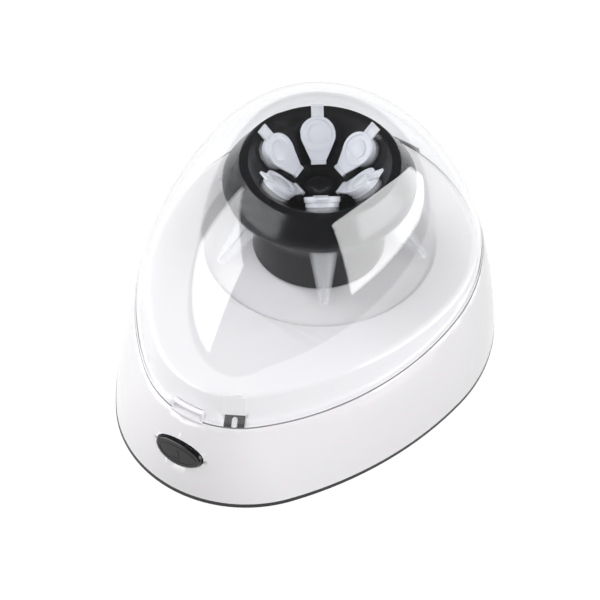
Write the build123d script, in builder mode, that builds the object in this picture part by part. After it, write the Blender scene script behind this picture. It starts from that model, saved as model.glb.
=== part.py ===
from build123d import *
import os
from dataclasses import dataclass
from math import acos, atan, atan2, cos, degrees, radians, sin, sqrt, tan

# Mini centrifuge: egg-shaped housing, clear dome lid, six-place rotor.
# Millimetres. +Z is up, -Y is the narrow front, and the origin is the centre
# of the footprint on the bench.

# Plan outlines: eggs of four tangent arcs
BASE_BACK_R = 69.2
BASE_FRONT_R = 49.9
BASE_SIDE_R = 146.2
BASE_PITCH = 50.4
BACK_FLARE = 6.5
FRONT_FLARE = 11.0
SIDE_FLARE = 41.0
PITCH_FLARE = 0.9
SEAM_BACK_R = BASE_BACK_R - BACK_FLARE
SEAM_FRONT_R = BASE_FRONT_R - FRONT_FLARE
SEAM_SIDE_R = BASE_SIDE_R - SIDE_FLARE
SEAM_PITCH = BASE_PITCH - PITCH_FLARE
BASE_BACK_LEAD = 1.2
SEAM_BACK_LEAD = -0.3
WALL_BOW = 1.0

# Heights above the bench
FOOT_PROUD = 2.0
PLATE_EDGE = 1.6
SEAM_H = 44.1
SEAM_TILT = 6.7
DOME_TALL = 69.3
LID_TOP_H = SEAM_H + DOME_TALL
DECK_RISE = 6.0
DECK_FRONT_DROP = 8.1
DECK_REAR_RISE = 10.4
DECK_H = SEAM_H + DECK_RISE
DECK_FRONT_H = DECK_H - DECK_FRONT_DROP
DECK_REAR_H = DECK_H + DECK_REAR_RISE

# Walls and gaps
WALL = 2.5
LID_WALL = 2.2
SEAM_GAP = 0.35
DECK_GAP = 0.8
SLIDE_GAP = 0.25
TURN_GAP = 0.05
PIN_GAP = 0.02

# Dome: how full its crown and shoulder are, and where its top stands
DOME_CROWN = 2.23
DOME_SHOULDER = 1.18
DOME_DRIFT = 1.25
DOME_TOP_LEAD = -6.5
DOME_SHARES = (1.0, 0.985, 0.95, 0.89, 0.8, 0.68, 0.54, 0.38, 0.22, 0.1, 0.035)
DECK_SHARES = (1.0, 0.97, 0.93, 0.87, 0.78)

# Deck and its recess
DECK_EDGE_R = 3.0
DECK_FRONT_BEND = -30.0
DECK_REAR_BEND = 18.0
RECESS_MARGIN = 9.2
RECESS_DEPTH = 3.0

# Rotor
ROTOR_TALL = 41.7
ROTOR_LIP_R = 35.4
ROTOR_LIP_DROP = 8.9
ROTOR_LIP_T = 1.8
ROTOR_BEVEL = 6.4
ROTOR_RIM_EDGE = 0.8
ROTOR_HUB_R = 25.0
ROTOR_HUB_TAPER = 1.6
ROTOR_HUB_GAP = 1.6
ROTOR_NECK_DROP = 24.4
ROTOR_CORE_DROP = 28.4
ROTOR_FLOOR_R = 8.6
ROTOR_CORE_R = 10.0
ROTOR_WALL = 2.6
RECESS_R = ROTOR_LIP_R + RECESS_MARGIN
ROTOR_RIM_R = ROTOR_LIP_R - ROTOR_BEVEL
ROTOR_HUB_TOP_R = ROTOR_HUB_R - ROTOR_HUB_TAPER
ROTOR_HUB_H = DECK_H - RECESS_DEPTH + ROTOR_HUB_GAP
ROTOR_RIM_H = ROTOR_HUB_H + ROTOR_TALL
ROTOR_LIP_H = ROTOR_RIM_H - ROTOR_LIP_DROP
ROTOR_NECK_H = ROTOR_RIM_H - ROTOR_NECK_DROP
ROTOR_CORE_TOP_H = ROTOR_RIM_H - ROTOR_CORE_DROP
ROTOR_LEAN = 45.0
ROTOR_PHASE = -55.0
TUBE_COUNT = 6

# Microtubes of 1.5 mL
TUBE_SEAT_IN = 13.1
TUBE_SEAT_DROP = 2.4
TUBE_SEAT_R = ROTOR_RIM_R - TUBE_SEAT_IN
TUBE_SEAT_H = ROTOR_RIM_H - TUBE_SEAT_DROP
TUBE_LENGTH = 38.8
TUBE_R = 5.3
TUBE_NECK_R = 5.0
TUBE_CONE_L = 18.0
TUBE_TIP_R = 1.8
TUBE_HOLE_GAP = 0.15
CAP_R = 6.5
CAP_T = 2.0
CAP_DISH = 0.5
CAP_RING = 1.3
COLLAR_R = 6.1
COLLAR_T = 3.5
TAB_W = 4.6
TAB_L = 4.4
TAB_T = 1.0
STRAP_W = 5.6
STRAP_L = 4.6
STRAP_T = 0.8

# Motor and its suspension
MOTOR_R = 17.8
MOTOR_PAN_GAP = 4.0
MOTOR_NOSE_R = 6.0
MOTOR_NOSE_L = 4.5
MOTOR_SCREW_PITCH = 25.0
MOTOR_SCREW_BITE = 4.0
MOTOR_PLATE_T = 2.0
SHAFT_R = 1.6
SHAFT_HOLE_R = 5.0
BUSH_R = 4.2
BUSH_L = 12.0
NUT_R = 5.6
NUT_L = 4.4
NUT_ROOF = 1.6
NUT_HEX_R = 2.4
DAMPER_R = 4.2
DAMPER_T = 4.0
DAMPER_PITCH_R = 22.5
DAMPER_COUNT = 3
BOSS_T = 2.5
BOSS_BITE = 4.0
M3_R = 1.5
M3_HEAD_R = 2.8
M3_HEAD_T = 1.8

# Release button and latch
BUTTON_H = 19.5
BUTTON_W = 19.8
BUTTON_TALL = 9.4
BUTTON_GAP = 0.35
BUTTON_PROUD = 1.4
BUTTON_EDGE_R = 1.0
BUTTON_FLANGE = 1.6
BUTTON_STEM_R = 3.0
BUTTON_SPIGOT_R = 2.0
BUTTON_SPIGOT_L = 4.0
BUTTON_STROKE = 2.5
FLANGE_T = 1.5
FLANGE_GAP = 1.4
LATCH_W = 13.4
NOTCH_DEEP = 1.2
NOTCH_GAP = 0.8
NOTCH_REACH = 14.0
CATCH_GAP = 1.0
CATCH_LOW = 0.4
CATCH_TALL = 4.2
CATCH_SLOT_LOW = 1.0
CATCH_SLOT_W = 11.2
CATCH_SLOT_TALL = 2.4
LIP_PROUD = 0.7
LIP_T = 1.0
NOSE_W = 9.2
NOSE_T = 1.4
NOSE_SHORT = 0.3
ARM_T = 2.0
ARM_GAP = 1.3
CARRIAGE_W = 18.0
CARRIAGE_L = 9.0
CARRIAGE_BELOW = 7.5
CARRIAGE_ABOVE = 4.5
CARRIAGE_LOW = BUTTON_H - CARRIAGE_BELOW
CARRIAGE_TOP = BUTTON_H + CARRIAGE_ABOVE
TONGUE_T = 2.0
TONGUE_END = 1.5
BRACKET_T = 2.4
BRACKET_EDGE_R = 0.4
BRACKET_SCREW_IN = 3.4
BRACKET_SCREW_BITE = 2.5
SPRING_L = 6.5
SPRING_R = 2.8
SPRING_WIRE_R = 0.35
SPRING_TURNS = 3.5

# Lid interlock
WINDOW_TURN = 27.0
WINDOW_W = 7.4
WINDOW_L = 6.8
WINDOW_IN = 0.9
WINDOW_SUNK = 0.8
WINDOW_RIM = 0.7
WINDOW_DEPTH = 4.6
WINDOW_BACK = 2.8
WINDOW_FLANGE = 1.0
WINDOW_CLEAR = 0.4
PIN_W = 2.0
PIN_L = 4.6
PIN_OUT = 0.4
PIN_EDGE_R = 0.3
PIN_STROKE = 1.5
SWITCH_W = 9.0
SWITCH_L = 6.0
SWITCH_TALL = 4.6

# Lid hinge
HINGE_BACK = 2.1
HINGE_DROP = 11.4
HINGE_SLOT_IN = 2.0
KNUCKLE_R = 2.6
KNUCKLE_W = 20.0
KNUCKLE_GAP = 0.5
STRAP_TOP = 1.8
STRAP_INNER = 1.4
LUG_W = 5.0
LUG_GAP = 0.4
LUG_REACH = 8.0
HINGE_PIN_R = 1.1

# Board and inlet
BOARD_W = 52.0
BOARD_L = 30.0
BOARD_T = 1.6
BOARD_H = 9.0
BOARD_TOP_H = BOARD_H + BOARD_T
BOARD_SCREW_X = 44.0
BOARD_SCREW_Y = 22.0
BOARD_SCREW_L = 3.0
STANDOFF_R = 2.8
M2_R = 1.2
M2_HEAD_R = 2.2
M2_HEAD_T = 1.4
CAPACITOR_R = 5.0
CAPACITOR_TALL = 12.0
DRIVER_W = 9.0
DRIVER_T = 2.4
PLUG_W = 8.0
PLUG_L = 6.0
PLUG_TALL = 7.0
JACK_W = 11.0
JACK_TALL = 11.0
JACK_L = 12.0
JACK_H = BOARD_TOP_H + JACK_TALL / 2
JACK_OVERHANG = 6.6
JACK_WALL_GAP = 1.8
JACK_GAP = 0.6
JACK_BARREL_R = 4.9
JACK_BARREL_L = 3.6
JACK_BORE_R = 3.2
JACK_BORE_L = 9.5
JACK_PIN_R = 1.0

# Base plate: pan, feet, screws and vents
PAN_T = 1.5
PAN_GAP = 1.4
POST_R = 4.0
POST_BITE = 9.0
POST_BACK_IN = 16.0
POST_BACK_TURN = 30.2
POST_FRONT_IN = 20.8
POST_FRONT_TURN = 21.8
FOOT_R = 7.0
FOOT_SUNK = 1.2
FOOT_EDGE = 0.6
FOOT_BACK_IN = 11.35
FOOT_BACK_TURN = 54.0
FOOT_FRONT_IN = 17.5
FOOT_FRONT_TURN = 47.3
VENT_L = 26.0
VENT_W = 2.0
VENT_PITCH = 5.0
VENT_COUNT = 5


@dataclass(frozen=True)
class Egg:
    """A closed egg of four tangent arcs, its narrow end towards -y."""

    back_r: float
    front_r: float
    side_r: float
    pitch: float
    back_y: float

    def inset(self, gap):
        """The parallel outline, gap further in."""
        return Egg(self.back_r - gap, self.front_r - gap, self.side_r - gap, self.pitch, self.back_y)

    def scaled(self, share, about_y):
        """The outline scaled about (0, about_y), which moves to the sketch's origin."""
        back_y = (self.back_y - about_y) * share
        return Egg(self.back_r * share, self.front_r * share, self.side_r * share, self.pitch * share, back_y)

    def middle(self):
        """The y halfway between the front and the back."""
        return self.back_y + (self.back_r - self.pitch - self.front_r) / 2


def mix(start, end, share):
    """The value the given share of the way from start to end."""
    return start + (end - start) * share


BASE = Egg(BASE_BACK_R, BASE_FRONT_R, BASE_SIDE_R, BASE_PITCH, BASE_BACK_LEAD)
SEAM = Egg(SEAM_BACK_R, SEAM_FRONT_R, SEAM_SIDE_R, SEAM_PITCH, SEAM_BACK_LEAD)
WAIST = Egg(
    mix(BASE_BACK_R, SEAM_BACK_R, 0.5) + WALL_BOW,
    mix(BASE_FRONT_R, SEAM_FRONT_R, 0.5) + WALL_BOW,
    mix(BASE_SIDE_R, SEAM_SIDE_R, 0.5) + WALL_BOW,
    mix(BASE_PITCH, SEAM_PITCH, 0.5),
    mix(BASE_BACK_LEAD, SEAM_BACK_LEAD, 0.5),
)

# The rotor's axis, placed so that the footprint is centred on the origin
ROTOR_Y = -BASE.middle()
SEAM_SLOPE = tan(radians(SEAM_TILT))
BASE_H = FOOT_PROUD
SHELL_H = BASE_H + PLATE_EDGE
SEAM_FRONT_Y = SEAM.back_y - SEAM.pitch - SEAM.front_r
SEAM_BACK_Y = SEAM.back_y + SEAM.back_r
RECESS_FLOOR_H = DECK_H - RECESS_DEPTH
FRONT_FACE = Plane(origin=(0, ROTOR_Y, 0), x_dir=(1, 0, 0), z_dir=(0, -1, 0))
ROTOR_AXIS = Axis((0, ROTOR_Y, 0), (0, 0, 1))


def level_plane(height):
    """A level plane through the rotor's axis."""
    return Plane(origin=(0, ROTOR_Y, height), x_dir=(1, 0, 0), z_dir=(0, 0, 1))


def leaning_plane(y, height, slope):
    """A plane through (0, y from the rotor, height) that rises towards the back."""
    lean = atan(slope)
    return Plane(origin=(0, ROTOR_Y + y, height), x_dir=(1, 0, 0), z_dir=(0, -sin(lean), cos(lean)))


def seam_plane(lift=0.0):
    """The sloping plane of the lid's seam, lifted square to itself."""
    return leaning_plane(0, SEAM_H, SEAM_SLOPE).offset(lift)


def seam_height(y):
    """Height of the seam at y from the rotor's axis."""
    return SEAM_H + y * SEAM_SLOPE


def wall_front_y(height):
    """The y, from the rotor's axis, of the housing's front wall at a height."""
    front_seam_h = seam_height(SEAM_FRONT_Y)
    share = (height - BASE_H) / (front_seam_h - BASE_H)
    base_front_y = BASE.back_y - BASE.pitch - BASE.front_r
    return mix(base_front_y, SEAM_FRONT_Y, share) - WALL_BOW * 4 * share * (1 - share)


def wall_back_y(height):
    """The y, from the rotor's axis, of the housing's rear wall at a height."""
    share = (height - BASE_H) / (seam_height(SEAM_BACK_Y) - BASE_H)
    return mix(BASE.back_y + BASE.back_r, SEAM_BACK_Y, share) + WALL_BOW * 4 * share * (1 - share)


def base_spots(back_turn, back_in, front_turn, front_in):
    """Two pairs of spots inside the base's end arcs: angle from +x, distance from the outline."""
    back_r = BASE.back_r - back_in
    front_r = BASE.front_r - front_in
    back = (back_r * cos(radians(back_turn)), BASE.back_y + back_r * sin(radians(back_turn)))
    front_y = BASE.back_y - BASE.pitch - front_r * sin(radians(front_turn))
    front = (front_r * cos(radians(front_turn)), front_y)
    return (back, (-back[0], back[1]), front, (-front[0], front_y))


def egg_face(egg):
    """The filled egg outline, on the level plane through the origin."""
    lift = (egg.pitch**2 + (egg.side_r - egg.back_r) ** 2 - (egg.side_r - egg.front_r) ** 2) / (2 * egg.pitch)
    reach = sqrt((egg.side_r - egg.back_r) ** 2 - lift**2)
    back_angle = degrees(atan2(lift, reach))
    front_angle = degrees(atan2(lift - egg.pitch, reach))
    side_y = egg.back_y - lift
    sweep = back_angle - front_angle
    with BuildSketch(Plane.XY) as outline:
        with BuildLine():
            CenterArc((0, egg.back_y), egg.back_r, back_angle, 180 - 2 * back_angle)
            CenterArc((reach, side_y), egg.side_r, 180 - back_angle, sweep)
            CenterArc((0, egg.back_y - egg.pitch), egg.front_r, 180 - front_angle, 180 + 2 * front_angle)
            CenterArc((-reach, side_y), egg.side_r, front_angle, sweep)
        make_face()
    return outline.sketch


def wall_solid(inset, seam_drop):
    """The flaring wall from the level base up to the sloping seam, filled."""
    with BuildPart() as wall:
        with BuildSketch(level_plane(BASE_H)):
            add(egg_face(BASE.inset(inset)))
        with BuildSketch(leaning_plane(0, mix(BASE_H, SEAM_H, 0.5), SEAM_SLOPE / 2)):
            add(egg_face(WAIST.inset(inset)))
        with BuildSketch(seam_plane(-seam_drop)):
            add(egg_face(SEAM.inset(inset)))
        loft()
    return wall.part


def dome_solid(inset, shares):
    """The dome above the seam, filled, inset by a wall or a gap."""
    outline = SEAM.inset(inset)
    middle_y = outline.middle()
    start_y = middle_y * cos(radians(SEAM_TILT))
    with BuildPart() as dome:
        for share in shares:
            rise = (1 - share**DOME_CROWN) ** (1 / DOME_SHOULDER)
            y = mix(start_y, DOME_TOP_LEAD, rise**DOME_DRIFT)
            height = mix(seam_height(start_y), LID_TOP_H - inset, rise)
            with BuildSketch(leaning_plane(y, height, (1 - rise) * SEAM_SLOPE)):
                add(egg_face(outline.scaled(share, middle_y)))
        loft()
    return dome.part


def deck_solid(inset, drop):
    """The raised deck inside the lid, filled, before its edge is rounded."""
    front_y = ROTOR_Y + BASE.back_y - BASE.pitch - BASE.front_r
    back_y = ROTOR_Y + BASE.back_y + BASE.back_r
    with BuildPart() as deck:
        add(dome_solid(inset, DECK_SHARES))
        with BuildSketch(Plane.YZ):
            with BuildLine():
                front = TangentArc(
                    (ROTOR_Y + DECK_FRONT_BEND, DECK_H - drop),
                    (front_y, DECK_FRONT_H - drop),
                    tangent=(-1, 0),
                )
                back = TangentArc(
                    (ROTOR_Y + DECK_REAR_BEND, DECK_H - drop),
                    (back_y, DECK_REAR_H - drop),
                    tangent=(1, 0),
                )
                Line(front @ 0, back @ 0)
                Polyline(front @ 1, (front_y, 0), (back_y, 0), back @ 1)
            make_face()
        extrude(amount=BASE_BACK_R, both=True, mode=Mode.INTERSECT)
    return deck.part


def recess_solid(grow):
    """The round recess in the deck, grown by a wall below and around it."""
    floor_r = RECESS_R - RECESS_DEPTH + grow * (sqrt(2) - 1)
    floor_h = DECK_H - RECESS_DEPTH - grow
    rise = LID_TOP_H - floor_h
    with BuildPart() as recess:
        with BuildSketch(FRONT_FACE):
            with BuildLine():
                Polyline(
                    (0, floor_h),
                    (floor_r, floor_h),
                    (floor_r + rise, floor_h + rise),
                    (0, floor_h + rise),
                    close=True,
                )
            make_face()
        revolve(axis=ROTOR_AXIS)
    return recess.part


def keep(piece, name):
    """Label a finished piece and write its file."""
    piece.part.label = name
    export_step(piece.part, f"parts/{name}.step")


os.makedirs("parts", exist_ok=True)

# Places that more than one piece shares, as y from the rotor's axis
DECK_INSET = LID_WALL + DECK_GAP
NOTCH_Y = SEAM_FRONT_Y + DECK_INSET + NOTCH_DEEP
CATCH_Y = NOTCH_Y - CATCH_GAP
LATCH_H = seam_height(CATCH_Y) + CATCH_LOW + CATCH_SLOT_LOW + CATCH_SLOT_TALL / 2
NOSE_TIP_Y = CATCH_Y + NOSE_SHORT
ARM_Y = NOTCH_Y + WALL + ARM_GAP
CARRIAGE_BACK_Y = ARM_Y + CARRIAGE_L
BRACKET_BACK_Y = CARRIAGE_BACK_Y + SPRING_L
FLANGE_Y = wall_front_y(BUTTON_H + BUTTON_TALL / 2 + BUTTON_FLANGE) + WALL + FLANGE_GAP
BRACKET_SPOTS = ((0, ARM_Y + BRACKET_SCREW_IN), (0, BRACKET_BACK_Y - BRACKET_SCREW_IN))
HINGE_Y = SEAM_BACK_Y + HINGE_BACK
HINGE_H = seam_height(SEAM_BACK_Y) - HINGE_DROP
HINGE_SLOT_Y = SEAM_BACK_Y - HINGE_SLOT_IN
HINGE_SLOT_W = KNUCKLE_W + 2 * LUG_GAP
JACK_FACE_Y = wall_back_y(JACK_H) - WALL - JACK_WALL_GAP
BOARD_Y = JACK_FACE_Y - JACK_OVERHANG - BOARD_L / 2
PAN_H = SHELL_H + PAN_T

# Motor stack, from the deck's underside down
BOSS_H = RECESS_FLOOR_H - WALL - BOSS_T
MOTOR_PLATE_H = BOSS_H - DAMPER_T - MOTOR_PLATE_T
MOTOR_BASE_H = PAN_H + MOTOR_PAN_GAP
MOTOR_L = MOTOR_PLATE_H - MOTOR_BASE_H
BOWL_H = TUBE_SEAT_H - (COLLAR_T + CAP_T) * sqrt(2) - TUBE_SEAT_R
BOWL_FLOOR_H = BOWL_H + ROTOR_FLOOR_R
SHAFT_TOP_H = BOWL_FLOOR_H + NUT_L - NUT_ROOF

DAMPER_SPOTS = PolarLocations(DAMPER_PITCH_R, DAMPER_COUNT, start_angle=90)
SCREW_SPOTS = base_spots(POST_BACK_TURN, POST_BACK_IN, POST_FRONT_TURN, POST_FRONT_IN)
FOOT_SPOTS = base_spots(FOOT_BACK_TURN, FOOT_BACK_IN, FOOT_FRONT_TURN, FOOT_FRONT_IN)


def window_spot(inset):
    """A place on the seam's plane at the interlock window, inset from the seam's outline."""
    turn = radians(WINDOW_TURN)
    reach = SEAM_FRONT_R - inset
    return (reach * sin(turn), SEAM.back_y - SEAM.pitch - reach * cos(turn))


def window_plane(lift=0.0):
    """The seam's plane at the interlock window, turned to face out of the front arc."""
    spot = window_spot(WINDOW_IN + WINDOW_L / 2)
    seam = seam_plane()
    origin = seam.from_local_coords((spot[0], spot[1], 0))
    turned = seam.x_dir * cos(radians(WINDOW_TURN)) + seam.y_dir * sin(radians(WINDOW_TURN))
    return Plane(origin=origin, x_dir=turned, z_dir=seam.z_dir).offset(lift)


def tube_plane(turn):
    """The plane of a tube's cap top, its normal along the tube, away from the rotor."""
    place = radians(turn)
    out = (cos(place), sin(place))
    lean = radians(ROTOR_LEAN)
    origin = (out[0] * TUBE_SEAT_R, ROTOR_Y + out[1] * TUBE_SEAT_R, TUBE_SEAT_H)
    normal = (-out[0] * sin(lean), -out[1] * sin(lean), cos(lean))
    return Plane(origin=origin, x_dir=(-out[1], out[0], 0), z_dir=normal)


def hinge_slot(grow):
    """The slot in the rear wall that the lid's strap and knuckle turn in."""
    low = HINGE_H - KNUCKLE_R - KNUCKLE_GAP - grow
    with BuildPart() as slot:
        with BuildSketch(Plane.YZ):
            with BuildLine():
                Polyline(
                    (ROTOR_Y + HINGE_SLOT_Y - grow, seam_height(HINGE_SLOT_Y)),
                    (ROTOR_Y + HINGE_SLOT_Y - grow, low),
                    (ROTOR_Y + HINGE_Y + KNUCKLE_R, low),
                    (ROTOR_Y + HINGE_Y + KNUCKLE_R, seam_height(HINGE_Y + KNUCKLE_R)),
                    close=True,
                )
            make_face()
        extrude(amount=HINGE_SLOT_W / 2 + grow, both=True)
    return slot.part


# Base plate: the black edge, the raised pan inside it and its standoffs
with BuildPart() as base_plate:
    add(wall_solid(0, 0))
    split(bisect_by=Plane.XY.offset(SHELL_H), keep=Keep.BOTTOM)
    with BuildSketch(level_plane(SHELL_H)):
        add(egg_face(BASE.inset(WALL + PAN_GAP)))
    extrude(amount=PAN_T)
    with BuildSketch(level_plane(PAN_H)):
        with Locations((0, BOARD_Y)):
            with GridLocations(BOARD_SCREW_X, BOARD_SCREW_Y, 2, 2):
                Circle(STANDOFF_R)
    extrude(amount=BOARD_H - PAN_H)
    with BuildSketch(level_plane(BOARD_H)):
        with Locations((0, BOARD_Y)):
            with GridLocations(BOARD_SCREW_X, BOARD_SCREW_Y, 2, 2):
                Circle(M2_R + PIN_GAP)
    extrude(amount=-BOARD_SCREW_L, mode=Mode.SUBTRACT)
    with BuildSketch(level_plane(BASE_H)):
        with Locations(*FOOT_SPOTS):
            Circle(FOOT_R + PIN_GAP)
    extrude(amount=FOOT_SUNK, mode=Mode.SUBTRACT)
    with BuildSketch(level_plane(BASE_H)):
        with Locations(*SCREW_SPOTS):
            Circle(M3_HEAD_R + SLIDE_GAP)
    extrude(amount=M3_HEAD_T, mode=Mode.SUBTRACT)
    with BuildSketch(level_plane(BASE_H)):
        with Locations(*SCREW_SPOTS):
            Circle(M3_R + PIN_GAP)
    extrude(amount=PLATE_EDGE + PAN_T, mode=Mode.SUBTRACT)
    with BuildSketch(level_plane(PAN_H)):
        with Locations(*BRACKET_SPOTS):
            Circle(M3_R + PIN_GAP)
    extrude(amount=-BRACKET_SCREW_BITE, mode=Mode.SUBTRACT)
    with BuildSketch(level_plane(BASE_H)):
        with GridLocations(0, VENT_PITCH, 1, VENT_COUNT):
            SlotOverall(VENT_L, VENT_W)
    extrude(amount=PLATE_EDGE + PAN_T, mode=Mode.SUBTRACT)
keep(base_plate, "base_plate")

# Housing: flaring wall, deck inside the lid, recess and hinge lugs
with BuildPart() as cavity:
    add(wall_solid(WALL, WALL))
    add(deck_solid(DECK_INSET + WALL, WALL))
    with BuildSketch(seam_plane()):
        add(egg_face(SEAM.inset(DECK_INSET + WALL)))
    extrude(amount=-2 * WALL)
    add(recess_solid(WALL), mode=Mode.SUBTRACT)
    with BuildSketch(seam_plane(-WALL)):
        with Locations((0, NOTCH_Y + WALL - NOTCH_REACH / 2)):
            Rectangle(LATCH_W + 2 * (NOTCH_GAP + WALL), NOTCH_REACH)
    extrude(amount=LID_TOP_H - DECK_H, mode=Mode.SUBTRACT)
    with BuildSketch(window_plane(-WALL)):
        with Locations((0, (WINDOW_L - NOTCH_REACH) / 2 + WINDOW_CLEAR + WALL)):
            Rectangle(WINDOW_W + 2 * (WINDOW_CLEAR + WALL), NOTCH_REACH)
    extrude(amount=LID_TOP_H - DECK_H, mode=Mode.SUBTRACT)
    add(hinge_slot(WALL), mode=Mode.SUBTRACT)
    with BuildSketch(level_plane(PAN_H)):
        with Locations(*SCREW_SPOTS):
            Circle(POST_R)
    extrude(amount=LID_TOP_H - DECK_H, mode=Mode.SUBTRACT)
    with BuildSketch(level_plane(BOSS_H)):
        with DAMPER_SPOTS:
            Circle(DAMPER_R)
    extrude(amount=BOSS_T + WALL, mode=Mode.SUBTRACT)

with BuildPart() as deck:
    add(deck_solid(DECK_INSET, 0))
    tops = deck.faces().filter_by(lambda face: face.normal_at().Z > 0.85).sort_by(Axis.Z)[-3:]
    rim = tops.edges().filter_by(GeomType.LINE, reverse=True)
    fillet(rim, DECK_EDGE_R)

with BuildPart() as body_shell:
    add(wall_solid(0, 0))
    split(bisect_by=Plane.XY.offset(SHELL_H), keep=Keep.TOP)
    add(deck.part)
    for side in (-1, 1):
        lug_x = side * (KNUCKLE_W + LUG_W) / 2 + side * LUG_GAP
        with BuildSketch(Plane.YZ.offset(lug_x)):
            with Locations((ROTOR_Y + HINGE_Y, HINGE_H)):
                Circle(KNUCKLE_R)
            with BuildLine():
                Polyline(
                    (ROTOR_Y + HINGE_Y - LUG_REACH, HINGE_H + KNUCKLE_R),
                    (ROTOR_Y + HINGE_Y, HINGE_H + KNUCKLE_R),
                    (ROTOR_Y + HINGE_Y + KNUCKLE_R / sqrt(2), HINGE_H - KNUCKLE_R / sqrt(2)),
                    (ROTOR_Y + HINGE_Y - KNUCKLE_R, HINGE_H - LUG_REACH),
                    (ROTOR_Y + HINGE_Y - LUG_REACH, HINGE_H - LUG_REACH),
                    close=True,
                )
            make_face()
        extrude(amount=LUG_W / 2, both=True)
    add(cavity.part, mode=Mode.SUBTRACT)
    add(hinge_slot(0), mode=Mode.SUBTRACT)
    add(recess_solid(0), mode=Mode.SUBTRACT)
    with BuildSketch(level_plane(RECESS_FLOOR_H)):
        Circle(SHAFT_HOLE_R)
    extrude(amount=-WALL, mode=Mode.SUBTRACT)
    with BuildSketch(level_plane(BOSS_H)):
        with DAMPER_SPOTS:
            Circle(M3_R + PIN_GAP)
    extrude(amount=BOSS_BITE, mode=Mode.SUBTRACT)
    with BuildSketch(level_plane(PAN_H)):
        with Locations(*SCREW_SPOTS):
            Circle(M3_R + PIN_GAP)
    extrude(amount=POST_BITE, mode=Mode.SUBTRACT)
    with BuildSketch(seam_plane()):
        with Locations((0, NOTCH_Y - NOTCH_REACH / 2)):
            Rectangle(LATCH_W + 2 * NOTCH_GAP, NOTCH_REACH)
    extrude(amount=LID_TOP_H - DECK_H, mode=Mode.SUBTRACT)
    with BuildSketch(FRONT_FACE.offset(-ARM_Y)):
        with Locations((0, LATCH_H)):
            Rectangle(NOSE_W + 4 * SLIDE_GAP, NOSE_T + 4 * SLIDE_GAP)
    extrude(amount=WALL + NOTCH_REACH / 2, mode=Mode.SUBTRACT)
    with BuildSketch(FRONT_FACE.offset(-FLANGE_Y)):
        with Locations((0, BUTTON_H)):
            Ellipse(BUTTON_W / 2 + BUTTON_GAP, BUTTON_TALL / 2 + BUTTON_GAP)
    extrude(amount=BASE_FRONT_R / 2, mode=Mode.SUBTRACT)
    with BuildSketch(window_plane()):
        with Locations((0, (WINDOW_L - NOTCH_REACH) / 2 + WINDOW_CLEAR)):
            Rectangle(WINDOW_W + 2 * WINDOW_CLEAR, NOTCH_REACH)
    extrude(amount=LID_TOP_H - DECK_H, mode=Mode.SUBTRACT)
    with BuildSketch(window_plane()):
        Rectangle(WINDOW_W, WINDOW_L)
    extrude(amount=-WINDOW_DEPTH, mode=Mode.SUBTRACT)
    with BuildSketch(window_plane(-WINDOW_BACK)):
        Rectangle(WINDOW_W + 2 * (WINDOW_FLANGE + SLIDE_GAP), WINDOW_L)
    extrude(amount=-(WINDOW_DEPTH + SWITCH_TALL - WINDOW_BACK), mode=Mode.SUBTRACT)
    with BuildSketch(FRONT_FACE.offset(-JACK_FACE_Y)):
        with Locations((0, JACK_H)):
            Circle(JACK_BARREL_R + JACK_GAP)
    extrude(amount=-BASE_FRONT_R / 2, mode=Mode.SUBTRACT)
    with BuildSketch(Plane.YZ):
        with Locations((ROTOR_Y + HINGE_Y, HINGE_H)):
            Circle(HINGE_PIN_R + PIN_GAP)
    extrude(amount=KNUCKLE_W / 2 + LUG_GAP + LUG_W, both=True, mode=Mode.SUBTRACT)
keep(body_shell, "body_shell")

# Lid: clear dome with its catch block, pull lip and hinge knuckle
with BuildPart() as catch_block:
    with BuildSketch(seam_plane(CATCH_LOW)):
        with Locations((0, CATCH_Y - NOTCH_REACH / 2)):
            Rectangle(LATCH_W, NOTCH_REACH)
    extrude(amount=CATCH_TALL)
    add(dome_solid(LID_WALL / 2, DOME_SHARES), mode=Mode.INTERSECT)

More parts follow.
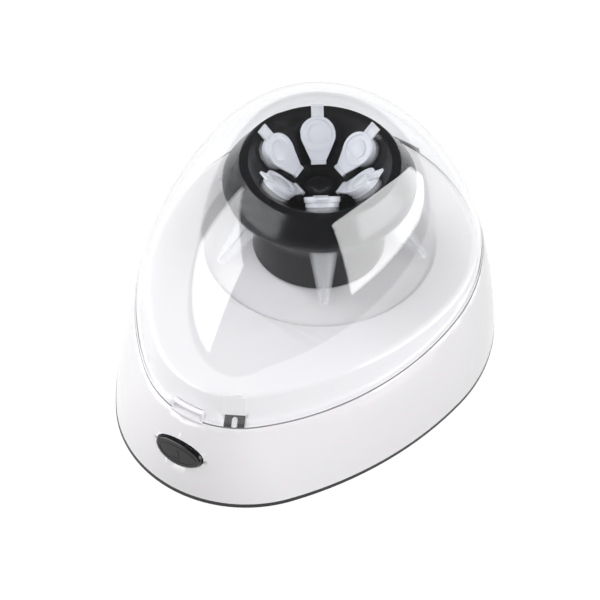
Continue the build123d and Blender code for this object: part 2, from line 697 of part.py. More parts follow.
strap_top_h = seam_height(SEAM_BACK_Y) + SEAM_GAP + STRAP_TOP
strap_reach = sqrt(HINGE_BACK**2 + (HINGE_DROP + SEAM_GAP) ** 2)
strap_turn = atan2(HINGE_DROP + SEAM_GAP, -HINGE_BACK) - acos(KNUCKLE_R / strap_reach)
with BuildPart() as lid:
    add(dome_solid(0, DOME_SHARES))
    split(bisect_by=seam_plane(SEAM_GAP), keep=Keep.TOP)
    with BuildSketch(Plane.YZ):
        with Locations((ROTOR_Y + HINGE_Y, HINGE_H)):
            Circle(KNUCKLE_R)
        with BuildLine():
            Polyline(
                (ROTOR_Y + SEAM_BACK_Y - STRAP_INNER, strap_top_h),
                (ROTOR_Y + SEAM_BACK_Y - LID_WALL / 4, strap_top_h),
                (ROTOR_Y + SEAM_BACK_Y, strap_top_h - STRAP_TOP),
                (ROTOR_Y + HINGE_Y + KNUCKLE_R * cos(strap_turn), HINGE_H + KNUCKLE_R * sin(strap_turn)),
                (ROTOR_Y + HINGE_Y, HINGE_H),
                (ROTOR_Y + HINGE_Y - KNUCKLE_R, HINGE_H),
                close=True,
            )
        make_face()
    extrude(amount=KNUCKLE_W / 2, both=True)
    with BuildSketch(seam_plane(SEAM_GAP)):
        with Locations((0, SEAM_FRONT_Y)):
            Rectangle(LATCH_W, 2 * LIP_PROUD)
    extrude(amount=LIP_T)
    add(dome_solid(LID_WALL, DOME_SHARES), mode=Mode.SUBTRACT)
    add(catch_block.part)
    with BuildSketch(seam_plane(CATCH_LOW + CATCH_SLOT_LOW)):
        with Locations((0, CATCH_Y - NOTCH_REACH / 2)):
            Rectangle(CATCH_SLOT_W, 2 * NOTCH_REACH)
    extrude(amount=CATCH_SLOT_TALL, mode=Mode.SUBTRACT)
    with BuildSketch(Plane.YZ):
        with Locations((ROTOR_Y + HINGE_Y, HINGE_H)):
            Circle(HINGE_PIN_R + TURN_GAP)
    extrude(amount=KNUCKLE_W / 2, both=True, mode=Mode.SUBTRACT)
keep(lid, "lid")

# Hinge pin through the lugs and the knuckle
with BuildPart() as hinge_pin:
    with BuildSketch(Plane.YZ):
        with Locations((ROTOR_Y + HINGE_Y, HINGE_H)):
            Circle(HINGE_PIN_R)
    extrude(amount=KNUCKLE_W / 2 + LUG_GAP + LUG_W, both=True)
keep(hinge_pin, "hinge_pin")

# Release button: oval cap whose face follows the wall, flange and stem
with BuildPart() as button_cap:
    with BuildSketch(FRONT_FACE.offset(-FLANGE_Y)):
        with Locations((0, BUTTON_H)):
            Ellipse(BUTTON_W / 2, BUTTON_TALL / 2)
    extrude(amount=BASE_FRONT_R / 2)
    add(wall_solid(-BUTTON_PROUD, 0), mode=Mode.INTERSECT)
    fillet(button_cap.faces().sort_by(Axis.Y)[0].edges(), BUTTON_EDGE_R)

with BuildPart() as release_button:
    add(button_cap.part)
    with BuildSketch(FRONT_FACE.offset(-FLANGE_Y)):
        with Locations((0, BUTTON_H)):
            Ellipse(BUTTON_W / 2 + BUTTON_FLANGE, BUTTON_TALL / 2 + BUTTON_FLANGE)
    extrude(amount=-FLANGE_T)
    with BuildSketch(FRONT_FACE.offset(-FLANGE_Y - FLANGE_T)):
        with Locations((0, BUTTON_H)):
            Circle(BUTTON_STEM_R)
    extrude(amount=-(ARM_Y - FLANGE_Y - FLANGE_T))
    with BuildSketch(FRONT_FACE.offset(-ARM_Y)):
        with Locations((0, BUTTON_H)):
            Circle(BUTTON_SPIGOT_R)
    extrude(amount=-BUTTON_SPIGOT_L)
keep(release_button, "release_button")

# Latch slide: carriage with tongues, arm and nose
with BuildPart() as latch_slide:
    with BuildSketch(FRONT_FACE.offset(-ARM_Y)):
        with Locations((0, (CARRIAGE_LOW + CARRIAGE_TOP) / 2)):
            Rectangle(CARRIAGE_W, CARRIAGE_TOP - CARRIAGE_LOW)
    extrude(amount=-CARRIAGE_L)
    with BuildSketch(FRONT_FACE.offset(-ARM_Y - TONGUE_END)):
        with Locations((0, BUTTON_H)):
            Rectangle(CARRIAGE_W + 2 * BRACKET_T, TONGUE_T)
    extrude(amount=-(CARRIAGE_L - 2 * TONGUE_END))
    with BuildSketch(FRONT_FACE.offset(-ARM_Y)):
        with Locations((0, (CARRIAGE_TOP + LATCH_H + NOSE_T) / 2)):
            Rectangle(NOSE_W, LATCH_H + NOSE_T - CARRIAGE_TOP)
    extrude(amount=-ARM_T)
    with BuildSketch(FRONT_FACE.offset(-ARM_Y - ARM_T / 2)):
        with Locations((0, LATCH_H)):
            Rectangle(NOSE_W, NOSE_T)
    extrude(amount=ARM_Y + ARM_T / 2 - NOSE_TIP_Y)
    chamfer(latch_slide.faces().sort_by(Axis.Y)[0].edges().sort_by(Axis.Z)[-1], NOSE_T / 2)
    with BuildSketch(FRONT_FACE.offset(-ARM_Y)):
        with Locations((0, BUTTON_H)):
            Circle(BUTTON_SPIGOT_R + PIN_GAP)
    extrude(amount=-BUTTON_SPIGOT_L, mode=Mode.SUBTRACT)
keep(latch_slide, "latch_slide")

# Latch bracket: two slotted cheeks, a back stop for the spring and a floor
BRACKET_IN = CARRIAGE_W / 2 + SLIDE_GAP
BRACKET_OUT = BRACKET_IN + BRACKET_T
BRACKET_L = BRACKET_BACK_Y + BRACKET_T - ARM_Y
with BuildPart() as latch_bracket:
    with BuildSketch(level_plane(PAN_H)):
        with Locations((0, ARM_Y + BRACKET_L / 2)):
            Rectangle(2 * BRACKET_OUT, BRACKET_L)
    extrude(amount=CARRIAGE_TOP - PAN_H)
    with BuildSketch(level_plane(PAN_H + BRACKET_T)):
        with Locations((0, (ARM_Y + BRACKET_BACK_Y) / 2)):
            Rectangle(2 * BRACKET_IN, BRACKET_BACK_Y - ARM_Y)
    extrude(amount=CARRIAGE_TOP - PAN_H, mode=Mode.SUBTRACT)
    with BuildSketch(Plane.YZ):
        with Locations((ROTOR_Y + ARM_Y + (CARRIAGE_L + BUTTON_STROKE) / 2, BUTTON_H)):
            Rectangle(CARRIAGE_L - 2 * TONGUE_END + BUTTON_STROKE + 4 * SLIDE_GAP, TONGUE_T + 2 * SLIDE_GAP)
    extrude(amount=BRACKET_OUT, both=True, mode=Mode.SUBTRACT)
    with BuildSketch(level_plane(PAN_H)):
        with Locations(*BRACKET_SPOTS):
            Circle(M3_R + PIN_GAP)
    extrude(amount=BRACKET_T, mode=Mode.SUBTRACT)
    uprights = latch_bracket.edges().filter_by(Axis.Z).filter_by(lambda edge: edge.length > BRACKET_T * 2)
    fillet(uprights, BRACKET_EDGE_R)
keep(latch_bracket, "latch_bracket")

with BuildPart() as bracket_screws:
    with BuildSketch(level_plane(PAN_H + BRACKET_T)):
        with Locations(*BRACKET_SPOTS):
            Circle(M3_HEAD_R)
    extrude(amount=M3_HEAD_T)
    with BuildSketch(level_plane(PAN_H + BRACKET_T)):
        with Locations(*BRACKET_SPOTS):
            Circle(M3_R)
    extrude(amount=-(BRACKET_T + BRACKET_SCREW_BITE))
keep(bracket_screws, "bracket_screws")

# Return spring behind the carriage: one coiled wire, and its least gap to itself
SPRING_RISE = SPRING_L - 2 * SPRING_WIRE_R
SPRING_STEPS = 240
with BuildPart() as button_spring:
    with BuildLine():
        coil = Helix(
            SPRING_RISE / SPRING_TURNS,
            SPRING_RISE,
            SPRING_R,
            center=(0, ROTOR_Y + CARRIAGE_BACK_Y + SPRING_WIRE_R, BUTTON_H),
            direction=(0, 1, 0),
        )
    with BuildSketch(Plane(origin=coil @ 0, z_dir=coil % 0)):
        Circle(SPRING_WIRE_R)
    sweep(path=coil)
keep(button_spring, "button_spring")
coil_spots = [coil @ (step / SPRING_STEPS) for step in range(SPRING_STEPS + 1)]
half_turn = round(SPRING_STEPS / SPRING_TURNS / 2)
coil_gap = min(
    (coil_spots[far] - coil_spots[near]).length
    for near in range(len(coil_spots) - half_turn)
    for far in range(near + half_turn, len(coil_spots))
)
print(f"button_spring least gap to itself: {coil_gap - 2 * SPRING_WIRE_R:.2f} mm")

# Lid interlock: black insert in the ledge, oval pin and the switch under them
with BuildPart() as interlock_housing:
    with BuildSketch(window_plane()):
        Rectangle(WINDOW_W, WINDOW_L)
    extrude(amount=-WINDOW_DEPTH)
    with BuildSketch(window_plane(-WINDOW_BACK)):
        Rectangle(WINDOW_W + 2 * WINDOW_FLANGE, WINDOW_L)
    extrude(amount=-(WINDOW_DEPTH - WINDOW_BACK))
    with BuildSketch(window_plane()):
        Rectangle(WINDOW_W - 2 * WINDOW_RIM, WINDOW_L - 2 * WINDOW_RIM)
    extrude(amount=-WINDOW_SUNK, mode=Mode.SUBTRACT)
    with BuildSketch(window_plane()):
        with Locations((0, -PIN_OUT)):
            SlotOverall(PIN_L + 2 * SLIDE_GAP, PIN_W + 2 * SLIDE_GAP, rotation=90)
    extrude(amount=-WINDOW_DEPTH, mode=Mode.SUBTRACT)
keep(interlock_housing, "interlock_housing")

with BuildPart() as interlock_plunger:
    with BuildSketch(window_plane()):
        with Locations((0, -PIN_OUT)):
            SlotOverall(PIN_L, PIN_W, rotation=90)
    extrude(amount=-WINDOW_DEPTH)
    fillet(interlock_plunger.faces().sort_by(Axis(window_plane().origin, window_plane().z_dir))[-1].edges(), PIN_EDGE_R)
keep(interlock_plunger, "interlock_plunger")

with BuildPart() as interlock_switch:
    with BuildSketch(window_plane(-WINDOW_DEPTH)):
        Rectangle(SWITCH_W, SWITCH_L)
    extrude(amount=-SWITCH_TALL)
    with BuildSketch(window_plane(-WINDOW_DEPTH)):
        with Locations((0, -PIN_OUT)):
            SlotOverall(PIN_L + 2 * SLIDE_GAP, PIN_W + 2 * SLIDE_GAP, rotation=90)
    extrude(amount=-(PIN_STROKE + SLIDE_GAP), mode=Mode.SUBTRACT)
keep(interlock_switch, "interlock_switch")

# Rotor: conical skirt over a hub, a bowl of the tubes' own slope, six holes
with BuildPart() as rotor:
    with BuildSketch(FRONT_FACE):
        with BuildLine():
            Polyline(
                (SHAFT_R, BOWL_FLOOR_H),
                (ROTOR_FLOOR_R, BOWL_FLOOR_H),
                (ROTOR_RIM_H - BOWL_H, ROTOR_RIM_H),
                (ROTOR_RIM_R, ROTOR_RIM_H),
                (ROTOR_LIP_R, ROTOR_LIP_H),
                (ROTOR_LIP_R, ROTOR_LIP_H - ROTOR_LIP_T),
                (ROTOR_LIP_R - ROTOR_LIP_T, ROTOR_LIP_H - 2 * ROTOR_LIP_T),
                (ROTOR_HUB_TOP_R, ROTOR_NECK_H),
                (ROTOR_HUB_R, ROTOR_HUB_H),
                (ROTOR_HUB_R - ROTOR_WALL, ROTOR_HUB_H),
                (ROTOR_HUB_TOP_R - ROTOR_WALL, ROTOR_CORE_TOP_H),
                (ROTOR_CORE_R, ROTOR_CORE_TOP_H),
                (ROTOR_CORE_R, ROTOR_HUB_H),
                (BUSH_R, ROTOR_HUB_H),
                (BUSH_R, ROTOR_HUB_H + BUSH_L),
                (SHAFT_R, ROTOR_HUB_H + BUSH_L),
                close=True,
            )
        make_face()
    revolve(axis=ROTOR_AXIS)
    rims = rotor.edges().filter_by(GeomType.CIRCLE).filter_by(lambda edge: edge.radius > ROTOR_HUB_R + 0.5)
    fillet(rims.filter_by(lambda edge: abs(edge.center().Z - ROTOR_RIM_H) < 0.01), ROTOR_RIM_EDGE)
    for place in range(TUBE_COUNT):
        hole_plane = tube_plane(ROTOR_PHASE + place * 360 / TUBE_COUNT)
        with BuildSketch(hole_plane):
            Circle(TUBE_R + TUBE_HOLE_GAP)
        extrude(amount=-TUBE_LENGTH, mode=Mode.SUBTRACT)
        with BuildSketch(hole_plane):
            Circle(COLLAR_R + TUBE_HOLE_GAP)
        extrude(amount=-(CAP_T + COLLAR_T), mode=Mode.SUBTRACT)
keep(rotor, "rotor")

with BuildPart() as hub_bush:
    with BuildSketch(level_plane(ROTOR_HUB_H)):
        Circle(BUSH_R)
        Circle(SHAFT_R, mode=Mode.SUBTRACT)
    extrude(amount=BUSH_L)
keep(hub_bush, "hub_bush")

with BuildPart() as rotor_nut:
    with BuildSketch(level_plane(BOWL_FLOOR_H)):
        Circle(NUT_R)
    extrude(amount=NUT_L)
    fillet(rotor_nut.faces().sort_by(Axis.Z)[-1].edges(), 1.0)
    with BuildSketch(level_plane(BOWL_FLOOR_H)):
        Circle(SHAFT_R)
    extrude(amount=NUT_L - NUT_ROOF, mode=Mode.SUBTRACT)
    with BuildSketch(level_plane(BOWL_FLOOR_H + NUT_L)):
        RegularPolygon(NUT_HEX_R, 6)
    extrude(amount=-NUT_ROOF / 2, mode=Mode.SUBTRACT)
keep(rotor_nut, "rotor_nut")

# Microtubes: body, collar, cap, hinge strap and opening tab in one moulding
for place in range(TUBE_COUNT):
    cap_plane = tube_plane(ROTOR_PHASE + place * 360 / TUBE_COUNT)
    collar_low = CAP_T + COLLAR_T
    with BuildPart() as microtube:
        with BuildSketch(Plane(origin=cap_plane.origin, x_dir=cap_plane.x_dir, z_dir=-cap_plane.y_dir)):
            with BuildLine():
                Polyline(
                    (0, -TUBE_LENGTH),
                    (TUBE_TIP_R, -TUBE_LENGTH),
                    (TUBE_NECK_R, -TUBE_LENGTH + TUBE_CONE_L),
                    (TUBE_R, -collar_low),
                    (COLLAR_R, -collar_low),
                    (COLLAR_R, -CAP_T),
                    (CAP_R, -CAP_T),
                    (CAP_R, 0),
                    (CAP_R - CAP_RING, 0),
                    (CAP_R - CAP_RING, -CAP_DISH),
                    (0, -CAP_DISH),
                    close=True,
                )
            make_face()
        revolve(axis=Axis(cap_plane.origin, cap_plane.z_dir))
        with BuildSketch(cap_plane.offset(-CAP_T)):
            with BuildLine():
                Polyline(
                    (-STRAP_W / 2, CAP_R + STRAP_L),
                    (STRAP_W / 2, CAP_R + STRAP_L),
                    (CAP_R * 0.9, CAP_R * 0.3),
                    (-CAP_R * 0.9, CAP_R * 0.3),
                    close=True,
                )
            make_face()
        extrude(amount=STRAP_T)
        with BuildSketch(cap_plane.offset(-TAB_T)):
            with Locations((0, -CAP_R - TAB_L / 2 + CAP_RING / 2)):
                Rectangle(TAB_W, TAB_L + CAP_RING)
        extrude(amount=TAB_T)
    keep(microtube, f"microtube_{place + 1}")

# Motor, its plate, dampers and screws
with BuildPart() as motor:
    with BuildSketch(level_plane(MOTOR_BASE_H)):
        Circle(MOTOR_R)
    extrude(amount=MOTOR_L)
    fillet(motor.edges().filter_by(GeomType.CIRCLE), 1.2)
    with BuildSketch(level_plane(MOTOR_PLATE_H)):
        Circle(MOTOR_NOSE_R)
    extrude(amount=MOTOR_NOSE_L)
    with BuildSketch(level_plane(MOTOR_PLATE_H)):
        with GridLocations(MOTOR_SCREW_PITCH, 0, 2, 1):
            Circle(M3_R + PIN_GAP)
    extrude(amount=-MOTOR_SCREW_BITE, mode=Mode.SUBTRACT)
    with BuildSketch(level_plane(MOTOR_BASE_H)):
        Circle(SHAFT_R + TURN_GAP)
    extrude(amount=MOTOR_L + MOTOR_NOSE_L, mode=Mode.SUBTRACT)
keep(motor, "motor")

with BuildPart() as motor_shaft:
    with BuildSketch(level_plane(MOTOR_BASE_H)):
        Circle(SHAFT_R)
    extrude(amount=SHAFT_TOP_H - MOTOR_BASE_H)
keep(motor_shaft, "motor_shaft")

with BuildPart() as motor_plate:
    with BuildSketch(level_plane(MOTOR_PLATE_H)):
        Circle(DAMPER_PITCH_R + DAMPER_R)
        Circle(MOTOR_NOSE_R + SLIDE_GAP, mode=Mode.SUBTRACT)
        with DAMPER_SPOTS:
            Circle(M3_R + PIN_GAP, mode=Mode.SUBTRACT)
        with GridLocations(MOTOR_SCREW_PITCH, 0, 2, 1):
            Circle(M3_R + PIN_GAP, mode=Mode.SUBTRACT)
    extrude(amount=MOTOR_PLATE_T)
keep(motor_plate, "motor_plate")

with BuildPart() as motor_screws:
    with BuildSketch(level_plane(MOTOR_PLATE_H + MOTOR_PLATE_T)):
        with GridLocations(MOTOR_SCREW_PITCH, 0, 2, 1):
            Circle(M3_HEAD_R)
    extrude(amount=M3_HEAD_T)
    with BuildSketch(level_plane(MOTOR_PLATE_H + MOTOR_PLATE_T)):
        with GridLocations(MOTOR_SCREW_PITCH, 0, 2, 1):
            Circle(M3_R)
    extrude(amount=-(MOTOR_PLATE_T + MOTOR_SCREW_BITE))
keep(motor_screws, "motor_screws")

with BuildPart() as motor_dampers:
    with BuildSketch(level_plane(MOTOR_PLATE_H + MOTOR_PLATE_T)):
        with DAMPER_SPOTS:
            Circle(DAMPER_R)
            Circle(M3_R + PIN_GAP, mode=Mode.SUBTRACT)
    extrude(amount=DAMPER_T)
keep(motor_dampers, "motor_dampers")

with BuildPart() as damper_screws:
    with BuildSketch(level_plane(MOTOR_PLATE_H)):
        with DAMPER_SPOTS:
            Circle(M3_HEAD_R)
    extrude(amount=-M3_HEAD_T)
    with BuildSketch(level_plane(MOTOR_PLATE_H)):
        with DAMPER_SPOTS:
            Circle(M3_R)
    extrude(amount=MOTOR_PLATE_T + DAMPER_T + BOSS_BITE)
keep(damper_screws, "damper_screws")

# Circuit board with its parts, its screws and the power inlet
with BuildPart() as circuit_board:
    with BuildSketch(level_plane(BOARD_H)):
        with Locations((0, BOARD_Y)):
            Rectangle(BOARD_W, BOARD_L)
            with GridLocations(BOARD_SCREW_X, BOARD_SCREW_Y, 2, 2):
                Circle(M2_R + PIN_GAP, mode=Mode.SUBTRACT)
    extrude(amount=BOARD_T)
keep(circuit_board, "circuit_board")

with BuildPart() as board_screws:
    with BuildSketch(level_plane(BOARD_TOP_H)):
        with Locations((0, BOARD_Y)):
            with GridLocations(BOARD_SCREW_X, BOARD_SCREW_Y, 2, 2):
                Circle(M2_HEAD_R)
    extrude(amount=M2_HEAD_T)
    with BuildSketch(level_plane(BOARD_TOP_H)):
        with Locations((0, BOARD_Y)):
            with GridLocations(BOARD_SCREW_X, BOARD_SCREW_Y, 2, 2):
                Circle(M2_R)
    extrude(amount=-(BOARD_T + BOARD_SCREW_L))
keep(board_screws, "board_screws")

with BuildPart() as board_capacitor:
    with BuildSketch(level_plane(BOARD_TOP_H)):
        with Locations((-BOARD_W / 4, BOARD_Y)):
            Circle(CAPACITOR_R)
    extrude(amount=CAPACITOR_TALL)
    fillet(board_capacitor.faces().sort_by(Axis.Z)[-1].edges(), 0.6)
keep(board_capacitor, "board_capacitor")

with BuildPart() as board_driver:
    with BuildSketch(level_plane(BOARD_TOP_H)):
        with Locations((BOARD_W / 4, BOARD_Y - BOARD_L / 6)):
            Rectangle(DRIVER_W, DRIVER_W)
    extrude(amount=DRIVER_T)
keep(board_driver, "board_driver")

with BuildPart() as board_plug:
    with BuildSketch(level_plane(BOARD_TOP_H)):
        with Locations((0, BOARD_Y - BOARD_L / 2 + PLUG_L)):
            Rectangle(PLUG_W, PLUG_L)
    extrude(amount=PLUG_TALL)
keep(board_plug, "board_plug")

with BuildPart() as dc_jack:
    with BuildSketch(FRONT_FACE.offset(-JACK_FACE_Y)):
        with Locations((0, JACK_H)):
            Rectangle(JACK_W, JACK_TALL)
    extrude(amount=JACK_L)
    with BuildSketch(FRONT_FACE.offset(-JACK_FACE_Y)):
        with Locations((0, JACK_H)):
            Circle(JACK_BARREL_R)
    extrude(amount=-JACK_BARREL_L)
    with BuildSketch(FRONT_FACE.offset(-JACK_FACE_Y - JACK_BARREL_L)):
        with Locations((0, JACK_H)):
            Circle(JACK_BORE_R)
    extrude(amount=JACK_BORE_L, mode=Mode.SUBTRACT)
    with BuildSketch(FRONT_FACE.offset(-JACK_FACE_Y - JACK_BARREL_L + JACK_BORE_L)):
        with Locations((0, JACK_H)):
            Circle(JACK_PIN_R)
    extrude(amount=-(JACK_BORE_L - JACK_BARREL_R / 4))
keep(dc_jack, "dc_jack")

# Base screws and feet
with BuildPart() as base_screws:
    with BuildSketch(level_plane(BASE_H)):
        with Locations(*SCREW_SPOTS):
            Circle(M3_HEAD_R)
    extrude(amount=M3_HEAD_T)
    with BuildSketch(level_plane(BASE_H)):
        with Locations(*SCREW_SPOTS):
            Circle(M3_R)
    extrude(amount=PLATE_EDGE + PAN_T + POST_BITE)
keep(base_screws, "base_screws")

for count, spot in enumerate(FOOT_SPOTS, start=1):
    with BuildPart() as foot:
        with BuildSketch(level_plane(0)):
            with Locations(spot):
                Circle(FOOT_R)
        extrude(amount=FOOT_PROUD + FOOT_SUNK)
        chamfer(foot.faces().sort_by(Axis.Z)[0].edges(), FOOT_EDGE)
    keep(foot, f"foot_{count}")
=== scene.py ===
"""Mini centrifuge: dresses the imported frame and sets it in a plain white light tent.

Lengths are in metres. The rotor's axis stands at y = AXIS_Y, +Z is up and the narrow front
with the release button points to -Y.
"""

import logging
import math
from collections.abc import Callable, Iterator
from contextlib import contextmanager
from dataclasses import dataclass, field
from enum import Enum

import bmesh
import bpy
from mathutils import Matrix, Vector


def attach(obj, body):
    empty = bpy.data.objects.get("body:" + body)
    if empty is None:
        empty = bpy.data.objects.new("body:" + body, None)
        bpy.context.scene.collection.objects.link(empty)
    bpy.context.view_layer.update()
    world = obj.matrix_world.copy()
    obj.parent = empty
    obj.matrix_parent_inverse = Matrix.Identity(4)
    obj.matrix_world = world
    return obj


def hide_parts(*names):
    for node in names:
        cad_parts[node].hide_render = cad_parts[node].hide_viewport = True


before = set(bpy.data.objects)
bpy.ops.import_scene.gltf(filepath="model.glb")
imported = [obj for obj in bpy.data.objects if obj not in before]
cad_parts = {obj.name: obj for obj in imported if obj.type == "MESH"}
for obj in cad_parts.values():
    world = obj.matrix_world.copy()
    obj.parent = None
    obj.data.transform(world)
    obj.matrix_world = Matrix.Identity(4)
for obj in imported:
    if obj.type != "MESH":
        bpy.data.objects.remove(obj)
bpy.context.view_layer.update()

LOG = logging.getLogger("mini_centrifuge")
Place = tuple[float, float, float]
Thing = bpy.types.Object

MM = 0.001
ORIGIN = (0.0, 0.0, 0.0)
AXIS_Y = 14.35 * MM
# The seam between housing and lid slopes down towards the front
SEAM_TILT = math.radians(6.7)
SEAM_H = 44.1 * MM
SEAM_AT = Vector((0, AXIS_Y, SEAM_H))
SEAM_UP = Vector((0, -math.sin(SEAM_TILT), math.cos(SEAM_TILT)))
# How near a face's normal comes to a direction that the face is said to look in
SQUARE_ON = 0.9
# Size of the slow change of tone across a moulding, and how far its gloss varies
CLOUD_MM = 35
WEAR = 0.15


class Grain(Enum):
    """How a surface was made, which sets the relief that the eye sees on it."""

    POLISHED = "polished mould"
    SPARK = "spark-eroded mould"
    TURNED = "turned on a lathe"
    ROLLED = "rolled sheet"


# Lathe and rolling marks are drawn out along the way that they were cut
STRETCH = {Grain.TURNED: (0.15, 0.15, 1.0), Grain.ROLLED: (0.1, 1.0, 1.0)}


def srgb(code: str) -> tuple[float, float, float, float]:
    """Turn an sRGB hex colour into linear light.

    Args:
        code: Six hex digits.

    Returns:
        Red, green, blue and an alpha of one.
    """
    parts = [int(code[place : place + 2], 16) / 255 for place in (0, 2, 4)]
    linear = [part / 12.92 if part <= 0.04045 else ((part + 0.055) / 1.055) ** 2.4 for part in parts]
    return (linear[0], linear[1], linear[2], 1.0)


def add_node(
    tree: bpy.types.NodeTree, kind: str, settings: dict[str, object], links: dict[str, bpy.types.NodeSocket]
) -> bpy.types.Node:
    """Add one shader node.

    Args:
        tree: The material's node tree.
        kind: The node's type name, without its ShaderNode prefix.
        settings: Socket names or attributes with their values.
        links: Input socket names with the outputs that feed them.

    Returns:
        The new node.
    """
    node = tree.nodes.new("ShaderNode" + kind)
    for name, value in settings.items():
        if name in node.inputs:
            node.inputs[name].default_value = value
        else:
            setattr(node, name, value)
    for name, source in links.items():
        tree.links.new(source, node.inputs[name])
    return node


@dataclass(frozen=True)
class Finish:
    """A real material and how its surface was made.

    It has two close tones, a fine relief of one size and height, and where it needs them a metal
    share, clear transmission, a lacquer, an opacity under one and a light of its own.
    """

    name: str
    colour: str
    shade: str
    grain: Grain
    rough: float
    ior: float
    grain_mm: float
    relief_mm: float
    metal: float = 0.0
    through: float = 0.0
    coat: float = 0.0
    cover: float = 1.0
    glow: float = 0.0

    def material(self) -> bpy.types.Material:
        """Build the finish as a material.

        Returns:
            The material, made once and then reused.
        """
        known = bpy.data.materials.get(self.name)
        if known:
            return known
        made = bpy.data.materials.new(self.name)
        made.use_nodes = True
        tree = made.node_tree
        tree.nodes.clear()
        place = add_node(tree, "TexCoord", {}, {})
        stretch = STRETCH.get(self.grain, (1.0, 1.0, 1.0))
        along = add_node(tree, "Mapping", {"Scale": stretch}, {"Vector": place.outputs["Object"]})
        fine_grain = {"Scale": 1 / (self.grain_mm * MM), "Detail": 3.0}
        fine = add_node(tree, "TexNoise", fine_grain, {"Vector": along.outputs["Vector"]})
        slow_grain = {"Scale": 1 / (CLOUD_MM * MM)}
        cloud = add_node(tree, "TexNoise", slow_grain, {"Vector": along.outputs["Vector"]})
        tones = {"Color1": srgb(self.shade), "Color2": srgb(self.colour)}
        tone = add_node(tree, "MixRGB", tones, {"Fac": cloud.outputs["Fac"]})
        spread = {"To Min": self.rough * (1 - WEAR), "To Max": self.rough * (1 + WEAR)}
        wear = add_node(tree, "MapRange", spread, {"Value": fine.outputs["Fac"]})
        relief = {"Strength": 0.5, "Distance": self.relief_mm * MM}
        bump = add_node(tree, "Bump", relief, {"Height": fine.outputs["Fac"]})
        surface = add_node(
            tree,
            "BsdfPrincipled",
            {
                "Metallic": self.metal,
                "IOR": self.ior,
                "Transmission Weight": self.through,
                "Coat Weight": self.coat,
                "Coat Roughness": 0.05,
                "Alpha": self.cover,
                "Emission Color": (1.0, 1.0, 1.0, 1.0),
                "Emission Strength": self.glow,
            },
            {
                "Base Color": tone.outputs["Color"],
                "Roughness": wear.outputs["Result"],
                "Normal": bump.outputs["Normal"],
            },
        )
        add_node(tree, "OutputMaterial", {}, {"Surface": surface.outputs["BSDF"]})
        return made


# Injection-moulded ABS from a polished mould: cool white, wet gloss, a hint of orange peel
WHITE_ABS = Finish(
    "glossy white ABS", "F3F1F3", "EFEDF0", Grain.POLISHED,
    rough=0.16, ior=1.53, grain_mm=1.6, relief_mm=0.001, coat=0.2
)
# Clear polycarbonate: water-clear with a hard mirror gloss
CLEAR_PC = Finish(
    "clear polycarbonate", "FDFEFF", "FBFCFE", Grain.POLISHED,
    rough=0.012, ior=1.585, grain_mm=9.0, relief_mm=0.0004, through=1.0
)
# The lid's lower edge band, coloured as a soft grey line: painted shadow of the seam gap and a painted look
# of the clear wall's edge seen end on
SEAM_SHADOW_PC = Finish(
    "polycarbonate edge with painted seam shadow", "85838C", "7C7A84", Grain.SPARK,
    rough=0.35, ior=1.585, grain_mm=0.4, relief_mm=0.01
)
# White polycarbonate of the catch frame behind the clear lid: milky, soft gloss
MILKY_PC = Finish(
    "milky polycarbonate", "F6F4F7", "EFEDF1", Grain.POLISHED,
    rough=0.2, ior=1.585, grain_mm=1.6, relief_mm=0.002
)
# Natural polypropylene in a thick cap: milky, nearly closed
THICK_PP = Finish(
    "thick natural polypropylene", "EAECF3", "E0E2EB", Grain.POLISHED,
    rough=0.2, ior=1.49, grain_mm=1.2, relief_mm=0.004, cover=0.87
)
# Natural polypropylene in a thin web: a third of what lies behind shows through
WEB_PP = Finish(
    "natural polypropylene web", "FAFBFF", "F2F3FA", Grain.POLISHED,
    rough=0.2, ior=1.49, grain_mm=1.2, relief_mm=0.004, cover=0.65
)
# Natural polypropylene in a thin wall: a faint haze with a bright gloss
THIN_PP = Finish(
    "thin natural polypropylene", "FBFCFF", "F4F6FB", Grain.POLISHED,
    rough=0.16, ior=1.49, grain_mm=1.2, relief_mm=0.003, cover=0.18
)
# Glass-filled nylon with a polished face: deep black with bright edges
BLACK_NYLON = Finish(
    "polished black nylon", "0B0B0E", "0F0F12", Grain.POLISHED,
    rough=0.2, ior=1.55, grain_mm=1.0, relief_mm=0.003
)
# Black ABS of the base edge, spark-eroded: dull black, its texture drawn a little coarse
BLACK_ABS = Finish(
    "textured black ABS", "0D0D0F", "121214", Grain.SPARK, rough=0.42, ior=1.53, grain_mm=0.35, relief_mm=0.02
)
# Silicone rubber: soft black without gloss
RUBBER = Finish(
    "black silicone rubber", "1B1B1C", "222223", Grain.SPARK,
    rough=0.7, ior=1.43, grain_mm=0.5, relief_mm=0.03
)
# Acetal of the inner latch parts: matt light grey
ACETAL = Finish(
    "grey acetal", "A9ABAE", "9FA1A4", Grain.SPARK, rough=0.4, ior=1.48, grain_mm=0.5, relief_mm=0.01
)
# Ground and zinc-plated steel: bright, with fine turning marks
STEEL = Finish(
    "turned steel", "B9BABC", "A8A9AC", Grain.TURNED,
    rough=0.28, ior=1.5, grain_mm=0.25, relief_mm=0.004, metal=1.0
)
# Turned brass bush: yellow metal with lathe lines
BRASS = Finish(
    "turned brass", "C9A45B", "B8924A", Grain.TURNED,
    rough=0.28, ior=1.5, grain_mm=0.25, relief_mm=0.004, metal=1.0
)
# Solder mask over glass epoxy: wet green lacquer
SOLDER_MASK = Finish(
    "green solder mask", "14502E", "0F4426", Grain.ROLLED, rough=0.3, ior=1.5, grain_mm=0.8, relief_mm=0.01
)
# Opal acrylic of the light table, lit from below so that no shadow darkens it
OPAL = Finish(
    "lit opal acrylic", "808080", "7E7E7E", Grain.SPARK,
    rough=0.9, ior=1.49, grain_mm=2.0, relief_mm=0.01, glow=0.88
)
